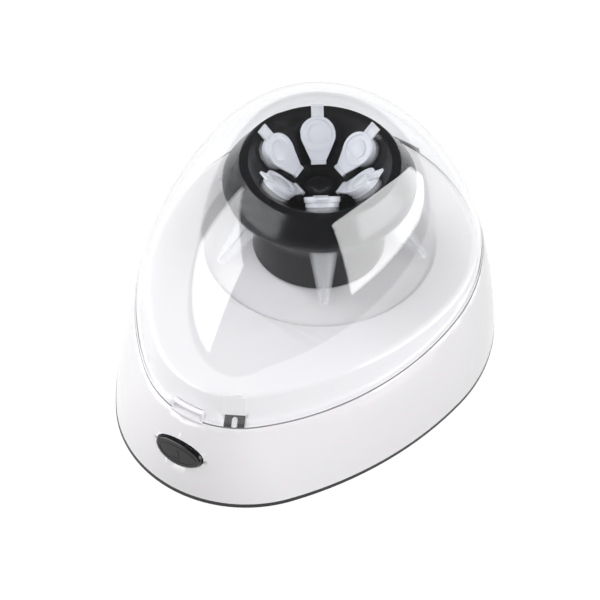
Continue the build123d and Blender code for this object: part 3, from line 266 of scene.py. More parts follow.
# Tent cloth, lit from outside: an even white all round, and too thin to throw light back
TENT_CLOTH = Finish(
    "lit thin tent cloth", "0A0A0A", "080808", Grain.SPARK,
    rough=0.9, ior=1.4, grain_mm=2.0, relief_mm=0.01, glow=0.38
)


def dress(thing: Thing, finish: Finish) -> None:
    """Give a piece one finish all over."""
    thing.data.materials.clear()
    thing.data.materials.append(finish.material())


def only(thing: Thing) -> None:
    """Leave one object selected and active.

    Args:
        thing: The object.
    """
    bpy.ops.object.select_all(action="DESELECT")
    thing.select_set(True)
    bpy.context.view_layer.objects.active = thing


def primitive(kind: str, name: str, **settings: object) -> Thing:
    """Add a primitive to start a piece from, its place in its mesh.

    Args:
        kind: The middle of the operator's name, such as plane or circle.
        name: The new object's name.
        **settings: What the operator takes.

    Returns:
        The new object.
    """
    bpy.ops.object.select_all(action="DESELECT")
    getattr(bpy.ops.mesh, f"primitive_{kind}_add")(**settings)
    thing = bpy.context.active_object
    thing.name = name
    bpy.ops.object.transform_apply(location=True, rotation=True, scale=True)
    return thing


@contextmanager
def shaping(thing: Thing) -> Iterator[None]:
    """Hold a piece in edit mode, all of it selected at the start.

    Args:
        thing: The piece.

    Yields:
        Nothing.
    """
    only(thing)
    bpy.ops.object.mode_set(mode="EDIT")
    bpy.ops.mesh.select_mode(type="VERT")
    bpy.ops.mesh.select_all(action="SELECT")
    yield
    bpy.ops.object.mode_set(mode="OBJECT")


def pick(thing: Thing, test: Callable[[Vector, Vector], bool]) -> None:
    """Select, in edit mode, the faces that pass a test.

    Args:
        thing: The piece that is being shaped.
        test: Takes a face's centre and normal.
    """
    bpy.ops.mesh.select_mode(type="FACE")
    bpy.ops.mesh.select_all(action="DESELECT")
    mesh = bmesh.from_edit_mesh(thing.data)
    mesh.normal_update()
    for face in mesh.faces:
        face.select_set(test(face.calc_center_median(), face.normal))
    bmesh.update_edit_mesh(thing.data)


def turn(angle: float, axis: str, centre: Place) -> None:
    """Turn what is selected right-handed; without a window the operator goes the other way."""
    bpy.ops.transform.rotate(value=-angle, orient_axis=axis, center_override=centre)


def shift(x: float, y: float, z: float) -> None:
    """Move what is selected."""
    bpy.ops.transform.translate(value=(x, y, z))


def extrude(x: float, y: float, z: float) -> None:
    """Extrude what is selected by a step."""
    bpy.ops.mesh.extrude_region_move(TRANSFORM_OT_translate={"value": (x, y, z)})


def scale(share: Place, centre: Place) -> None:
    """Scale what is selected about a place."""
    bpy.ops.transform.resize(value=share, center_override=centre)


def sweep(angle: float, centre: Place, steps: int) -> None:
    """Spin what is selected right-handed round a level circle; the operator's angle runs the other way."""
    bpy.ops.mesh.spin(steps=steps, angle=-angle, center=centre, axis=(0, 0, 1))


def weld(thing: Thing) -> None:
    """Merge a piece's doubled points, close what is open and turn its faces outwards.

    Args:
        thing: The piece.
    """
    with shaping(thing):
        bpy.ops.mesh.remove_doubles(threshold=1e-6)
        bpy.ops.mesh.fill_holes(sides=4)
        bpy.ops.mesh.select_all(action="SELECT")
        bpy.ops.mesh.normals_make_consistent(inside=False)


def modify(thing: Thing, kind: str, **settings: object) -> None:
    """Give a piece a modifier and apply it.

    Args:
        thing: The piece.
        kind: Blender's name of the modifier.
        **settings: The modifier's settings.
    """
    only(thing)
    step = thing.modifiers.new(kind.lower(), kind)
    for name, value in settings.items():
        setattr(step, name, value)
    bpy.ops.object.modifier_apply(modifier=step.name)


def soften(thing: Thing, width: float, angle: float = 40.0) -> None:
    """Round a piece's sharp edges by a small width and shade it smooth."""
    modify(thing, "BEVEL", width=width, segments=2, limit_method="ANGLE", angle_limit=math.radians(angle))
    shade(thing, 30.0)


def shade(thing: Thing, angle: float) -> None:
    """Shade a piece smooth up to an angle in degrees."""
    only(thing)
    bpy.ops.object.shade_smooth_by_angle(angle=math.radians(angle))


def boolean(thing: Thing, operation: str, other: Thing) -> None:
    """Cut or join another object into a piece and drop that object."""
    modify(thing, "BOOLEAN", operation=operation, object=other, solver="EXACT")
    bpy.data.objects.remove(other, do_unlink=True)


def join(first: Thing, *others: Thing) -> Thing:
    """Join several objects into the first one.

    Args:
        first: The object that stays.
        *others: What goes into it.

    Returns:
        The first object.
    """
    only(first)
    for other in others:
        other.select_set(True)
    bpy.ops.object.join()
    return first


def smooth_copy(node: str, name: str, angle: float) -> Thing:
    """Copy a CAD node's mesh, join its loose triangles and shade it smooth.

    Args:
        node: The CAD node.
        name: The new piece's name.
        angle: The sharpest angle, in degrees, that is still shaded smooth.

    Returns:
        The new piece.
    """
    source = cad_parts[node]
    piece = bpy.data.objects.new(name, source.data.copy())
    bpy.context.scene.collection.objects.link(piece)
    with shaping(piece):
        bpy.ops.mesh.remove_doubles(threshold=2e-6)
    shade(piece, angle)
    modify(piece, "WEIGHTED_NORMAL", mode="FACE_AREA_WITH_ANGLE", keep_sharp=True)
    return piece


@dataclass
class InnerWorks:
    """The base, the feet and the parts held inside, whose solids are right as they are."""

    finishes: dict[str, Finish] = field(
        default_factory=lambda: {
            "base_plate": BLACK_ABS,
            "interlock_housing": BLACK_ABS,
            "interlock_plunger": WHITE_ABS,
            "interlock_switch": BLACK_ABS,
            "motor": STEEL,
            "motor_shaft": STEEL,
            "hub_bush": BRASS,
            "motor_plate": STEEL,
            "motor_screws": STEEL,
            "motor_dampers": RUBBER,
            "damper_screws": STEEL,
            "latch_slide": ACETAL,
            "latch_bracket": ACETAL,
            "bracket_screws": STEEL,
            "button_spring": STEEL,
            "circuit_board": SOLDER_MASK,
            "board_capacitor": BLACK_ABS,
            "board_driver": BLACK_ABS,
            "board_plug": ACETAL,
            "board_screws": STEEL,
            "dc_jack": BLACK_ABS,
            "hinge_pin": STEEL,
            "base_screws": STEEL,
            "foot_1": RUBBER,
            "foot_2": RUBBER,
            "foot_3": RUBBER,
            "foot_4": RUBBER,
        }
    )

    def build(self) -> None:
        """Dress each of the parts."""
        for node, finish in self.finishes.items():
            dress(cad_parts[node], finish)
            LOG.info("dressed %s", node)


@dataclass
class Housing:
    """The white moulded housing with its deck and recess."""

    smooth_to: float = 28.0
    notch_turn: float = math.radians(27.0)
    notch_at: tuple[float, float] = (15.7 * MM, -64.5 * MM)
    notch_reach: float = 8.0 * MM
    notch_square: float = 0.99
    notch_lap: float = 0.03 * MM
    hood_rise: float = math.radians(46.0)

    def close_notch(self, shell: Thing) -> None:
        """Close the notch over the window with a hood that rises towards the front.

        Args:
            shell: The housing.
        """
        across = Matrix.Rotation(self.notch_turn, 3, SEAM_UP) @ Vector((1, 0, 0))
        back = SEAM_UP.cross(across)

        def beside(at: Vector, way: Vector) -> bool:
            """Tell whether a face is a wall of the notch.

            Args:
                at: The face's centre.
                way: The face's normal.

            Returns:
                True for its back wall and its two sides, above the seam.
            """
            from_middle = Vector((at.x - self.notch_at[0], at.y - self.notch_at[1], 0))
            side = way.dot(across) * math.copysign(1, from_middle.dot(across)) < -self.notch_square
            behind = way.dot(back) < -self.notch_square
            over_seam = (at - SEAM_AT).dot(SEAM_UP) > 0
            return from_middle.length < self.notch_reach and (side or behind) and over_seam

        plug = bpy.data.objects.new("notch_plug", shell.data.copy())
        bpy.context.scene.collection.objects.link(plug)
        with shaping(plug):
            pick(plug, beside)
            bpy.ops.mesh.select_all(action="INVERT")
            bpy.ops.mesh.delete(type="FACE")
            bpy.ops.mesh.select_all(action="SELECT")
            bpy.ops.mesh.convex_hull()
            bpy.ops.mesh.select_all(action="SELECT")
            bpy.ops.mesh.normals_make_consistent(inside=False)
            bpy.ops.transform.shrink_fatten(value=self.notch_lap)
            deepest = max((point.co - SEAM_AT).dot(back) for point in bmesh.from_edit_mesh(plug.data).verts)
            hinge = SEAM_AT + back * deepest
            hood = back * math.sin(self.hood_rise) + SEAM_UP * math.cos(self.hood_rise)
            bpy.ops.mesh.select_all(action="SELECT")
            bpy.ops.mesh.bisect(plane_co=hinge[:], plane_no=hood[:], use_fill=True, clear_inner=True)
        boolean(shell, "UNION", plug)
        shade(shell, self.smooth_to)
        modify(shell, "WEIGHTED_NORMAL", mode="FACE_AREA_WITH_ANGLE", keep_sharp=True)

    def build(self) -> None:
        """Smooth and dress the housing."""
        shell = smooth_copy("body_shell", "white_housing", self.smooth_to)
        self.close_notch(shell)
        dress(shell, WHITE_ABS)
        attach(shell, "housing")
        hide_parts("body_shell")
        LOG.info("made %s", shell.name)


@dataclass
class ClearLid:
    """The clear dome, its catch frame and pull lip at the front and its hinge strap behind."""

    back_r: float = 62.7 * MM
    front_r: float = 38.9 * MM
    side_r: float = 105.2 * MM
    pitch: float = 49.5 * MM
    back_y: float = -0.3 * MM
    middle_y: float = 1.35 * MM
    seam_gap: float = 0.35 * MM
    top_h: float = 113.35 * MM
    top_y: float = -6.5 * MM
    crown: float = 2.23
    shoulder: float = 1.18
    drift: float = 1.25
    wall: float = 2.2 * MM
    rings: int = 38
    back_steps: int = 84
    side_steps: int = 38
    front_steps: int = 26
    catch_steps: int = 18
    rim_edge: float = 0.15 * MM
    rim_angle: float = 60.0
    edge_tall: float = 0.65 * MM
    edge_slack: float = 0.1 * MM
    faces_down: float = -0.5
    catch_half: float = 6.7 * MM
    catch_low: float = 0.4 * MM
    catch_high: float = 4.6 * MM
    catch_proud: float = 0.25 * MM
    catch_thick: float = 3.4 * MM
    catch_border: float = 0.95 * MM
    catch_pocket: float = 2.9 * MM
    catch_lap: float = 0.45 * MM
    catch_edge: float = 0.15 * MM
    catch_outward: float = 0.8
    hole_deep: float = 6.0 * MM
    hole_over: float = 1.0 * MM
    lean_in: float = 1.35 * MM
    lip_proud: float = 0.7 * MM
    lip_tall: float = 1.0 * MM
    lip_sink: float = 0.02 * MM
    lip_lean: float = 0.3 * MM
    lip_edge: float = 0.2 * MM
    hinge_y: float = 64.5 * MM
    hinge_h: float = 40.03 * MM
    knuckle_r: float = 2.6 * MM
    knuckle_w: float = 20.0 * MM
    knuckle_sides: int = 64
    bore_r: float = 1.15 * MM
    bore_sides: int = 48
    bore_over: float = 1.2
    strap_low: float = 0.35
    strap_back: float = 0.1 * MM
    strap_slim: float = 0.3 * MM
    strap_foot: float = 5.0 * MM
    strap_head: float = 1.4 * MM
    strap_head_y: float = 61.7 * MM
    strap_top: float = 53.5 * MM

    def to_seam(self, thing: Thing) -> None:
        """Tilt a piece that was made level into the seam's plane.

        Args:
            thing: The piece.
        """
        with shaping(thing):
            turn(SEAM_TILT, "X", ORIGIN)
            shift(0, AXIS_Y, SEAM_H)

    def foot(self) -> Vector:
        """Give the place over the seam where the dome begins."""
        return SEAM_AT + SEAM_UP * self.seam_gap

    def egg_ring(self) -> Thing:
        """Run the seam's egg outline as four tangent arcs.

        Returns:
            The ring in the seam's plane.
        """
        lift = (self.pitch**2 + (self.side_r - self.back_r) ** 2 - (self.side_r - self.front_r) ** 2) / (
            2 * self.pitch
        )
        reach = math.sqrt((self.side_r - self.back_r) ** 2 - lift**2)
        back_angle = math.atan2(lift, reach)
        front_angle = math.atan2(lift - self.pitch, reach)
        side = back_angle - front_angle
        side_y = self.back_y - lift
        start = (self.back_r * math.cos(back_angle), self.back_y + self.back_r * math.sin(back_angle), 0.0)
        ring = primitive("plane", "clear_dome", size=MM, location=start)
        with shaping(ring):
            bpy.ops.mesh.merge(type="CENTER")
            sweep(math.pi - 2 * back_angle, (0, self.back_y, 0), self.back_steps)
            sweep(side, (reach, side_y, 0), self.side_steps)
            sweep(math.pi + 2 * front_angle, (0, self.back_y - self.pitch, 0), self.front_steps)
            sweep(side, (-reach, side_y, 0), self.side_steps)
            bpy.ops.mesh.select_all(action="SELECT")
            bpy.ops.mesh.remove_doubles(threshold=1e-6)
        self.to_seam(ring)
        return ring

    def dome(self) -> Thing:
        """Loft the dome from the seam ring up to its pole and give it its wall.

        Returns:
            The dome.
        """
        shell = self.egg_ring()
        middle_y = self.back_y + (self.back_r - self.pitch - self.front_r) / 2
        start_y = middle_y * math.cos(SEAM_TILT)
        start_h = SEAM_H + start_y * math.tan(SEAM_TILT)
        old_share, old_lean = 1.0, SEAM_TILT
        old = Vector((0, AXIS_Y + start_y, start_h))
        with shaping(shell):
            for ring in range(1, self.rings):
                turned = math.pi / 2 * ring / self.rings
                share = math.cos(turned) ** (2 / self.crown)
                rise = math.sin(turned) ** (2 / self.shoulder)
                y = start_y + (self.top_y - start_y) * rise**self.drift
                new = Vector((0, AXIS_Y + y, start_h + (self.top_h - start_h) * rise))
                lean = math.atan((1 - rise) * math.tan(SEAM_TILT))
                extrude(*(new - old))
                scale((share / old_share,) * 3, new[:])
                turn(lean - old_lean, "X", new[:])
                old, old_share, old_lean = new, share, lean
            extrude(0, 0, self.top_h - old.z)
            bpy.ops.mesh.merge(type="CENTER")
            bpy.ops.mesh.select_all(action="SELECT")
            bpy.ops.mesh.normals_make_consistent(inside=False)
            bpy.ops.mesh.bisect(plane_co=self.foot()[:], plane_no=SEAM_UP[:], clear_inner=True)
            bpy.ops.mesh.select_all(action="SELECT")
            # Cut off the narrow band at the foot that gets the painted seam shadow
            bpy.ops.mesh.bisect(plane_co=(self.foot() + SEAM_UP * self.edge_tall)[:], plane_no=SEAM_UP[:])
        modify(shell, "SOLIDIFY", thickness=self.wall, offset=-1.0, use_even_offset=True)
        return shell

    def along_front(
        self, name: str, inner: float, outer: float, low: float, high: float, lean_in: float, half_w: float
    ) -> Thing:
        """Make a curved block that follows the front arc of the seam.

        Args:
            name: The block's name.
            inner: Radius of its inner side.
            outer: Radius of its outer side at the bottom.
            low: Height of its bottom over the seam.
            high: Height of its top over the seam.
            lean_in: How far the outer side leans in at the top.
            half_w: Half of its width, along the arc's chord.

        Returns:
            The block, still level.
        """
        centre = (0, self.back_y - self.pitch, 0)
        half = math.asin(half_w / self.front_r)
        block = primitive("plane", name, size=1.0)
        with shaping(block):
            turn(math.pi / 2, "Y", ORIGIN)
            scale((1, outer - inner, high - low), ORIGIN)
            shift(0, centre[1] - (inner + outer) / 2, (low + high) / 2)
            mesh = bmesh.from_edit_mesh(block.data)
            top = (low + high) / 2
            for point in mesh.verts:
                point.select_set(point.co.z > top and point.co.y < centre[1] - (inner + outer) / 2)
            bmesh.update_edit_mesh(block.data)
            shift(0, lean_in, 0)
            bpy.ops.mesh.select_all(action="SELECT")
            turn(-half, "Z", centre)
            sweep(2 * half, centre, self.catch_steps)
        weld(block)
        return block

    def outward(self, at: Vector) -> Vector:
        """Give the level direction from the middle of the front arc to a place."""
        return Vector((at.x, at.y - self.back_y + self.pitch, 0)).normalized()

    def catch(self) -> Thing:
        """Shape the catch frame with its curved pocket.

        Returns:
            The frame.
        """
        outer = self.front_r + self.catch_proud
        block = self.along_front(
            "catch_frame",
            outer - self.catch_thick,
            outer,
            self.catch_low,
            self.catch_high,
            self.lean_in,
            self.catch_half,
        )
        with shaping(block):
            pick(block, lambda at, way: way.dot(self.outward(at)) > self.catch_outward)
            bpy.ops.mesh.inset(thickness=self.catch_border, use_even_offset=True)
            extrude(0, self.catch_pocket, 0)
        self.to_seam(block)
        soften(block, self.catch_edge)
        return block

    def strap(self) -> Thing:
        """Shape the hinge strap with its knuckle and bore.

        Returns:
            The strap.
        """
        at = (0, AXIS_Y + self.hinge_y, self.hinge_h)
        flat = (0, math.pi / 2, 0)
        knuckle = primitive(
            "cylinder",
            "knuckle",
            vertices=self.knuckle_sides,
            radius=self.knuckle_r,
            depth=self.knuckle_w,
            location=at,
            rotation=flat,
        )
        low = self.hinge_h + self.knuckle_r * self.strap_low
        mid_h = (low + self.strap_top) / 2
        foot_y = self.hinge_y - self.strap_back
        blade = primitive(
            "cube",
            "hinge_strap",
            size=1.0,
            scale=(self.knuckle_w, self.strap_foot - self.strap_slim, self.strap_top - low),
            location=(0, AXIS_Y + foot_y, mid_h),
        )
        with shaping(blade):
            pick(blade, lambda centre, way: way.z > SQUARE_ON)
            scale((1, self.strap_head / self.strap_foot, 1), (0, AXIS_Y + foot_y, self.strap_top))
            shift(0, self.strap_head_y - foot_y, 0)
        boolean(blade, "UNION", knuckle)
        bore = primitive(
            "cylinder",
            "bore",
            vertices=self.bore_sides,
            radius=self.bore_r,
            depth=self.knuckle_w * self.bore_over,
            location=at,
            rotation=flat,
        )
        boolean(blade, "DIFFERENCE", bore)
        return blade

    def mark_edge(self, dome: Thing) -> None:
        """Paint the dome's lower edge band grey, as painted shadow of the seam gap.

        Args:
            dome: The dome.
        """
        for face in dome.data.polygons:
            height = (face.center - self.foot()).dot(SEAM_UP)
            outward = Vector((face.center.x, face.center.y - self.middle_y, 0))
            outside = face.normal.dot(outward) > 0 or face.normal.dot(SEAM_UP) < self.faces_down
            face.material_index = int(outside and -self.edge_slack < height < self.edge_tall)

    def build(self) -> None:
        """Make the lid's pieces and put them on the lid."""
        dome = self.dome()
        outer = self.front_r + self.catch_proud + self.hole_over
        hole = self.along_front(
            "catch_hole",
            outer - self.hole_deep,
            outer,
            self.catch_low - self.hole_over,
            self.catch_high - self.catch_lap,
            self.lean_in,
            self.catch_half - self.catch_lap,
        )
        self.to_seam(hole)
        boolean(dome, "DIFFERENCE", hole)
        boolean(dome, "UNION", self.strap())
        soften(dome, self.rim_edge, self.rim_angle)
        dress(dome, CLEAR_PC)
        # The grey band at the dome's foot is painted shadow of the seam gap, not a colour of the plastic
        dome.data.materials.append(SEAM_SHADOW_PC.material())
        self.mark_edge(dome)
        frame_piece = self.catch()
        dress(frame_piece, MILKY_PC)
        lip = self.along_front(
            "pull_lip",
            self.front_r + self.lip_sink,
            self.front_r + self.lip_proud,
            self.seam_gap,
            self.seam_gap + self.lip_tall,
            self.lip_lean,
            self.catch_half,
        )
        self.to_seam(lip)
        soften(lip, self.lip_edge)
        dress(lip, MILKY_PC)
        for piece, slot in ((dome, "clear_plastic"), (frame_piece, "white_plastic"), (lip, "white_plastic")):
            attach(piece, "lid")
            LOG.info("made %s", piece.name)
        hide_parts("lid")
        dome.visible_shadow = False
        dome.visible_diffuse = False


@dataclass
class RotorHead:
    """The black rotor with its knob and the plain numbers of its places."""

    smooth_to: float = 28.0
    rim_r: float = 29.0 * MM
    rim_h: float = 90.4 * MM
    lip_r: float = 35.4 * MM
    lip_h: float = 81.5 * MM
    places: int = 6
    phase: float = math.radians(-55)
    number_tall: float = 2.6 * MM
    number_proud: float = 0.12 * MM
    number_turn: float = math.radians(30)
    number_down: float = 0.45

    def number(self, place: int) -> Thing:
        """Raise one plain number on the skirt.

        Args:
            place: Which of the rotor's places, from one.

        Returns:
            The number.
        """
        bpy.ops.object.select_all(action="DESELECT")
        bpy.ops.object.text_add()
        mark = bpy.context.active_object
        mark.name = f"place_number_{place}"
        mark.data.body = str(place)
        mark.data.size = self.number_tall
        mark.data.extrude = self.number_proud
        mark.data.align_x = "CENTER"
        mark.data.align_y = "CENTER"
        bpy.ops.object.convert(target="MESH")
        around = self.phase + self.number_turn + (place - 1) * math.tau / self.places
        out = Vector((math.cos(around), math.sin(around), 0))
        fall = out * (self.lip_r - self.rim_r) + Vector((0, 0, self.lip_h - self.rim_h))
        upward = -fall.normalized()
        across = Vector((-out.y, out.x, 0))
        facing = across.cross(upward)
        at = Vector((0, AXIS_Y, self.rim_h)) + out * self.rim_r + fall * self.number_down
        turned = Matrix((across, upward, facing)).transposed().to_4x4()
        mark.matrix_world = Matrix.Translation(at) @ turned
        only(mark)
        bpy.ops.object.transform_apply(location=True, rotation=True, scale=True)
        return mark

    def build(self) -> None:
        """Smooth the head and the knob, raise the numbers and dress them all."""
        head = smooth_copy("rotor", "rotor_head", self.smooth_to)
        knob = smooth_copy("rotor_nut", "rotor_knob", self.smooth_to)
        numbers = [self.number(place) for place in range(1, self.places + 1)]
        for piece in (head, knob, *numbers):
            dress(piece, BLACK_NYLON)
            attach(piece, "rotor")
            LOG.info("made %s", piece.name)
        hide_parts("rotor")
        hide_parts("rotor_nut")


@dataclass
class TubeSet:
    """Six 1.5 mL tubes, each a hollow tube with a cap, a hinge strap and an opening tab."""

    count: int = 6
    phase: float = math.radians(-55)
    lean: float = math.radians(45)
    seat_r: float = 15.9 * MM
    seat_h: float = 88.0 * MM
    rings: tuple[tuple[float, float], ...] = (
        (0.9, -38.65),
        (1.5, -38.2),
        (1.8, -37.5),
        (5.0, -20.8),
        (5.3, -5.5),
        (6.05, -5.5),
        (6.05, -3.6),
        (6.05, -2.05),
    )
    tube_sides: int = 48
    tube_smooth: float = 35.0
    tip: float = -38.75 * MM
    tip_slack: float = 0.01 * MM
    collar_low: float = -3.5 * MM
    wall: float = 0.8 * MM
    cap_r: float = 6.5 * MM
    cap_t: float = 2.0 * MM
    cap_ring: float = 1.2 * MM
    cap_dish: float = 0.5 * MM
    cap_sides: int = 64
    cap_edge: float = 0.16 * MM
    cap_angle: float = 50.0
    disc_r: float = 3.6 * MM
    disc_proud: float = 0.35 * MM
    strap_root_w: float = 11.9 * MM
    strap_root_y: float = 2.7 * MM
    strap_w: float = 5.6 * MM
    strap_l: float = 4.6 * MM
    strap_t: float = 0.8 * MM
    strap_low: float = 1.05 * MM
    strap_end: float = 1.5 * MM
    strap_rise: float = 0.5 * MM
    tab_w: float = 4.6 * MM
    tab_l: float = 4.4 * MM
    tab_t: float = 1.0 * MM
    tab_border: float = 0.7 * MM
    tab_sink: float = 0.45 * MM
    tab_lap: float = 0.6 * MM
    web_edge: float = 0.15 * MM

    def body(self) -> Thing:
        """Draw the hollow tube up from its rounded tip.

        Returns:
            The tube, its cap's top at the origin and its tip below.
        """
        first_r, first_h = self.rings[0]
        tube = primitive(
            "circle",
            "tube",
            vertices=self.tube_sides,
            radius=first_r * MM,
            fill_type="NOTHING",
            location=(0, 0, first_h * MM),
        )
        with shaping(tube):
            radius, height = first_r, first_h
            for new_r, new_h in self.rings[1:]:
                extrude(0, 0, (new_h - height) * MM)
                scale((new_r / radius, new_r / radius, 1), (0, 0, new_h * MM))
                radius, height = new_r, new_h
            mesh = bmesh.from_edit_mesh(tube.data)
            for point in mesh.verts:
                point.select_set(point.co.z < first_h * MM + self.tip_slack)
            mesh.select_flush(True)
            bmesh.update_edit_mesh(tube.data)
            extrude(0, 0, self.tip - first_h * MM)
            bpy.ops.mesh.merge(type="CENTER")
            bpy.ops.mesh.select_all(action="SELECT")
            bpy.ops.mesh.normals_make_consistent(inside=False)
        modify(tube, "SOLIDIFY", thickness=self.wall, offset=-1.0)
        shade(tube, self.tube_smooth)
        dress(tube, THIN_PP)
        tube.data.materials.append(THICK_PP.material())
        for face in tube.data.polygons:
            face.material_index = int(face.center.z > self.collar_low)
        return tube

    def cap(self) -> Thing:
        """Shape the cap with its ring, dish and inner disc.

        Returns:
            The cap.
        """
        cap = primitive("circle", "cap", vertices=self.cap_sides, radius=self.cap_r, fill_type="NGON")
        with shaping(cap):
            extrude(0, 0, -self.cap_t)
        weld(cap)
        with shaping(cap):
            pick(cap, lambda at, way: way.z > SQUARE_ON)
            bpy.ops.mesh.inset(thickness=self.cap_ring)
            extrude(0, 0, -self.cap_dish)
            bpy.ops.mesh.inset(thickness=self.cap_r - self.cap_ring - self.disc_r)
            extrude(0, 0, self.disc_proud)
        soften(cap, self.cap_edge, self.cap_angle)
        return cap

    def strap(self) -> Thing:
        """Shape the tapered hinge strap with its square end.

        Returns:
            The strap.
        """
        near, far = self.strap_root_y, self.cap_r + self.strap_l
        strap = primitive(
            "cube",
            "strap",
            size=1.0,
            scale=(self.strap_root_w, far - near, self.strap_t),
            location=(0, (near + far) / 2, -self.strap_low + self.strap_t / 2),
        )
        with shaping(strap):
            pick(strap, lambda at, way: way.y > SQUARE_ON)
            scale((self.strap_w / self.strap_root_w, 1, 1), (0, far, 0))
            shift(0, -self.strap_end, 0)
            extrude(0, self.strap_end, 0)
            pick(strap, lambda at, way: way.z > SQUARE_ON and at.y > far - self.strap_end)
            extrude(0, 0, self.strap_rise)
        soften(strap, self.web_edge)
        return strap

    def tab(self) -> Thing:
        """Shape the framed opening tab.

        Returns:
            The tab.
        """
        near, far = self.cap_r - self.tab_lap, self.cap_r + self.tab_l
        tab = primitive(
            "cube",
            "tab",
            size=1.0,
            scale=(self.tab_w, far - near, self.tab_t),
            location=(0, -(near + far) / 2, -self.tab_t / 2),
        )
        with shaping(tab):
            pick(tab, lambda at, way: way.z > SQUARE_ON)
            bpy.ops.mesh.inset(thickness=self.tab_border)
            extrude(0, 0, -self.tab_sink)
        soften(tab, self.web_edge)
        dress(tab, WEB_PP)
        return tab

    def build(self) -> None:
        """Make one tube, copy it to the six places and put each on the rotor."""
        lid = join(self.cap(), self.strap())
        dress(lid, THICK_PP)
        model = join(self.body(), lid, self.tab())
        for number in range(1, self.count + 1):
            around = self.phase + (number - 1) * math.tau / self.count
            out = Vector((math.cos(around), math.sin(around), 0))
            across = Vector((-out.y, out.x, 0))
            normal = Vector((-out.x * math.sin(self.lean), -out.y * math.sin(self.lean), math.cos(self.lean)))
            at = Vector((0, AXIS_Y, self.seat_h)) + out * self.seat_r
            turned = Matrix((across, normal.cross(across), normal)).transposed().to_4x4()
            piece = bpy.data.objects.new(f"capped_tube_{number}", model.data.copy())
            bpy.context.scene.collection.objects.link(piece)
            piece.matrix_world = Matrix.Translation(at) @ turned
            only(piece)
            bpy.ops.object.transform_apply(location=True, rotation=True, scale=True)
            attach(piece, "rotor")
            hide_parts(f"microtube_{number}")
            LOG.info("made %s", piece.name)
        bpy.data.objects.remove(model, do_unlink=True)


@dataclass
class ReleaseButton:
    """The black oval button with its raised rim and the open sign, a triangle over a bar."""

    width: float = 19.8 * MM
    tall: float = 9.4 * MM
    height: float = 19.5 * MM
    rim_in: float = 1.7 * MM
    rim_w: float = 0.45 * MM
    sign_w: float = 3.4 * MM
    bar_tall: float = 0.55 * MM
    bar_drop: float = 1.6 * MM
    proud: float = 0.14 * MM
    in_front: float = -95 * MM
    rim_sides: int = 96
    sign_share: float = 0.55
    sign_lift: float = 0.2 * MM
    sign_cuts: int = 5
    sign_smooth: float = 40.0
    smooth_to: float = 28.0

    def lay(self, thing: Thing) -> None:
        """Press a flat sign onto the button's face and give it its thickness.

        Args:
            thing: The flat sign, standing in front of the button.
        """
        modify(
            thing,
            "SHRINKWRAP",
            target=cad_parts["release_button"],
            wrap_method="PROJECT",
            use_project_y=True,
            use_positive_direction=True,
            use_negative_direction=False,
        )
        modify(thing, "SOLIDIFY", thickness=self.proud, offset=1.0)
        weld(thing)
        shade(thing, self.sign_smooth)

    def rim(self) -> Thing:
        """Shape the rim's flat outline.

        Returns:
            The rim, laid on the button.
        """
        ring = primitive(
            "circle",
            "button_rim",
            vertices=self.rim_sides,
            radius=1.0,
            fill_type="NGON",
            location=(0, self.in_front, self.height),
            rotation=(math.pi / 2, 0, 0),
        )
        with shaping(ring):
            long_r, tall_r = self.width / 2 - self.rim_in, self.tall / 2 - self.rim_in
            scale((long_r, 1, tall_r), (0, self.in_front, self.height))
            bpy.ops.mesh.inset(thickness=self.rim_w)
            bpy.ops.mesh.delete(type="FACE")
        self.lay(ring)
        return ring

    def sign(self) -> list[Thing]:
        """Shape the triangle and the bar under it.

        Returns:
            The two pieces, laid on the button.
        """
        triangle = primitive(
            "circle",
            "open_triangle",
            vertices=3,
            radius=self.sign_w * self.sign_share,
            fill_type="NGON",
            location=(0, self.in_front, self.height + self.sign_lift),
            rotation=(math.pi / 2, 0, 0),
        )
        bar = primitive(
            "plane",
            "open_bar",
            size=1.0,
            location=(0, self.in_front, self.height - self.bar_drop),
            rotation=(math.pi / 2, 0, 0),
        )
        with shaping(bar):
            scale((self.sign_w, 1, self.bar_tall), (0, self.in_front, self.height - self.bar_drop))
        for piece in (triangle, bar):
            with shaping(piece):
                bpy.ops.mesh.quads_convert_to_tris()
                bpy.ops.mesh.subdivide(number_cuts=self.sign_cuts)
            self.lay(piece)
        return [triangle, bar]

    def build(self) -> None:
        """Smooth the button, lay its rim and sign and put them on the latch."""
        cap = smooth_copy("release_button", "oval_button", self.smooth_to)
        raised = [self.rim(), *self.sign()]
        for piece in (cap, *raised):
            dress(piece, BLACK_NYLON)
            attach(piece, "latch")
            LOG.info("made %s", piece.name)
        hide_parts("release_button")


@dataclass(frozen=True)
class Softbox:
    """A softbox, which either shows in gloss and lights nothing or the other way round."""

    name: str
    place: Place
    facing: Place
    width: float
    tall: float
    watts: float
    mirrored: bool = False

    def hang(self) -> None:
        """Hang the softbox in the scene."""
        data = bpy.data.lights.new(self.name, "AREA")
        data.shape = "RECTANGLE"
        data.size = self.width
        data.size_y = self.tall
        data.energy = self.watts
        lamp = bpy.data.objects.new(self.name, data)
        bpy.context.scene.collection.objects.link(lamp)
        lamp.location = self.place
        lamp.rotation_euler = (-Vector(self.facing)).to_track_quat("Z", "Y").to_euler()
        lamp.visible_camera = False
        lamp.visible_diffuse = not self.mirrored
        lamp.visible_glossy = self.mirrored
        lamp.visible_transmission = self.mirrored


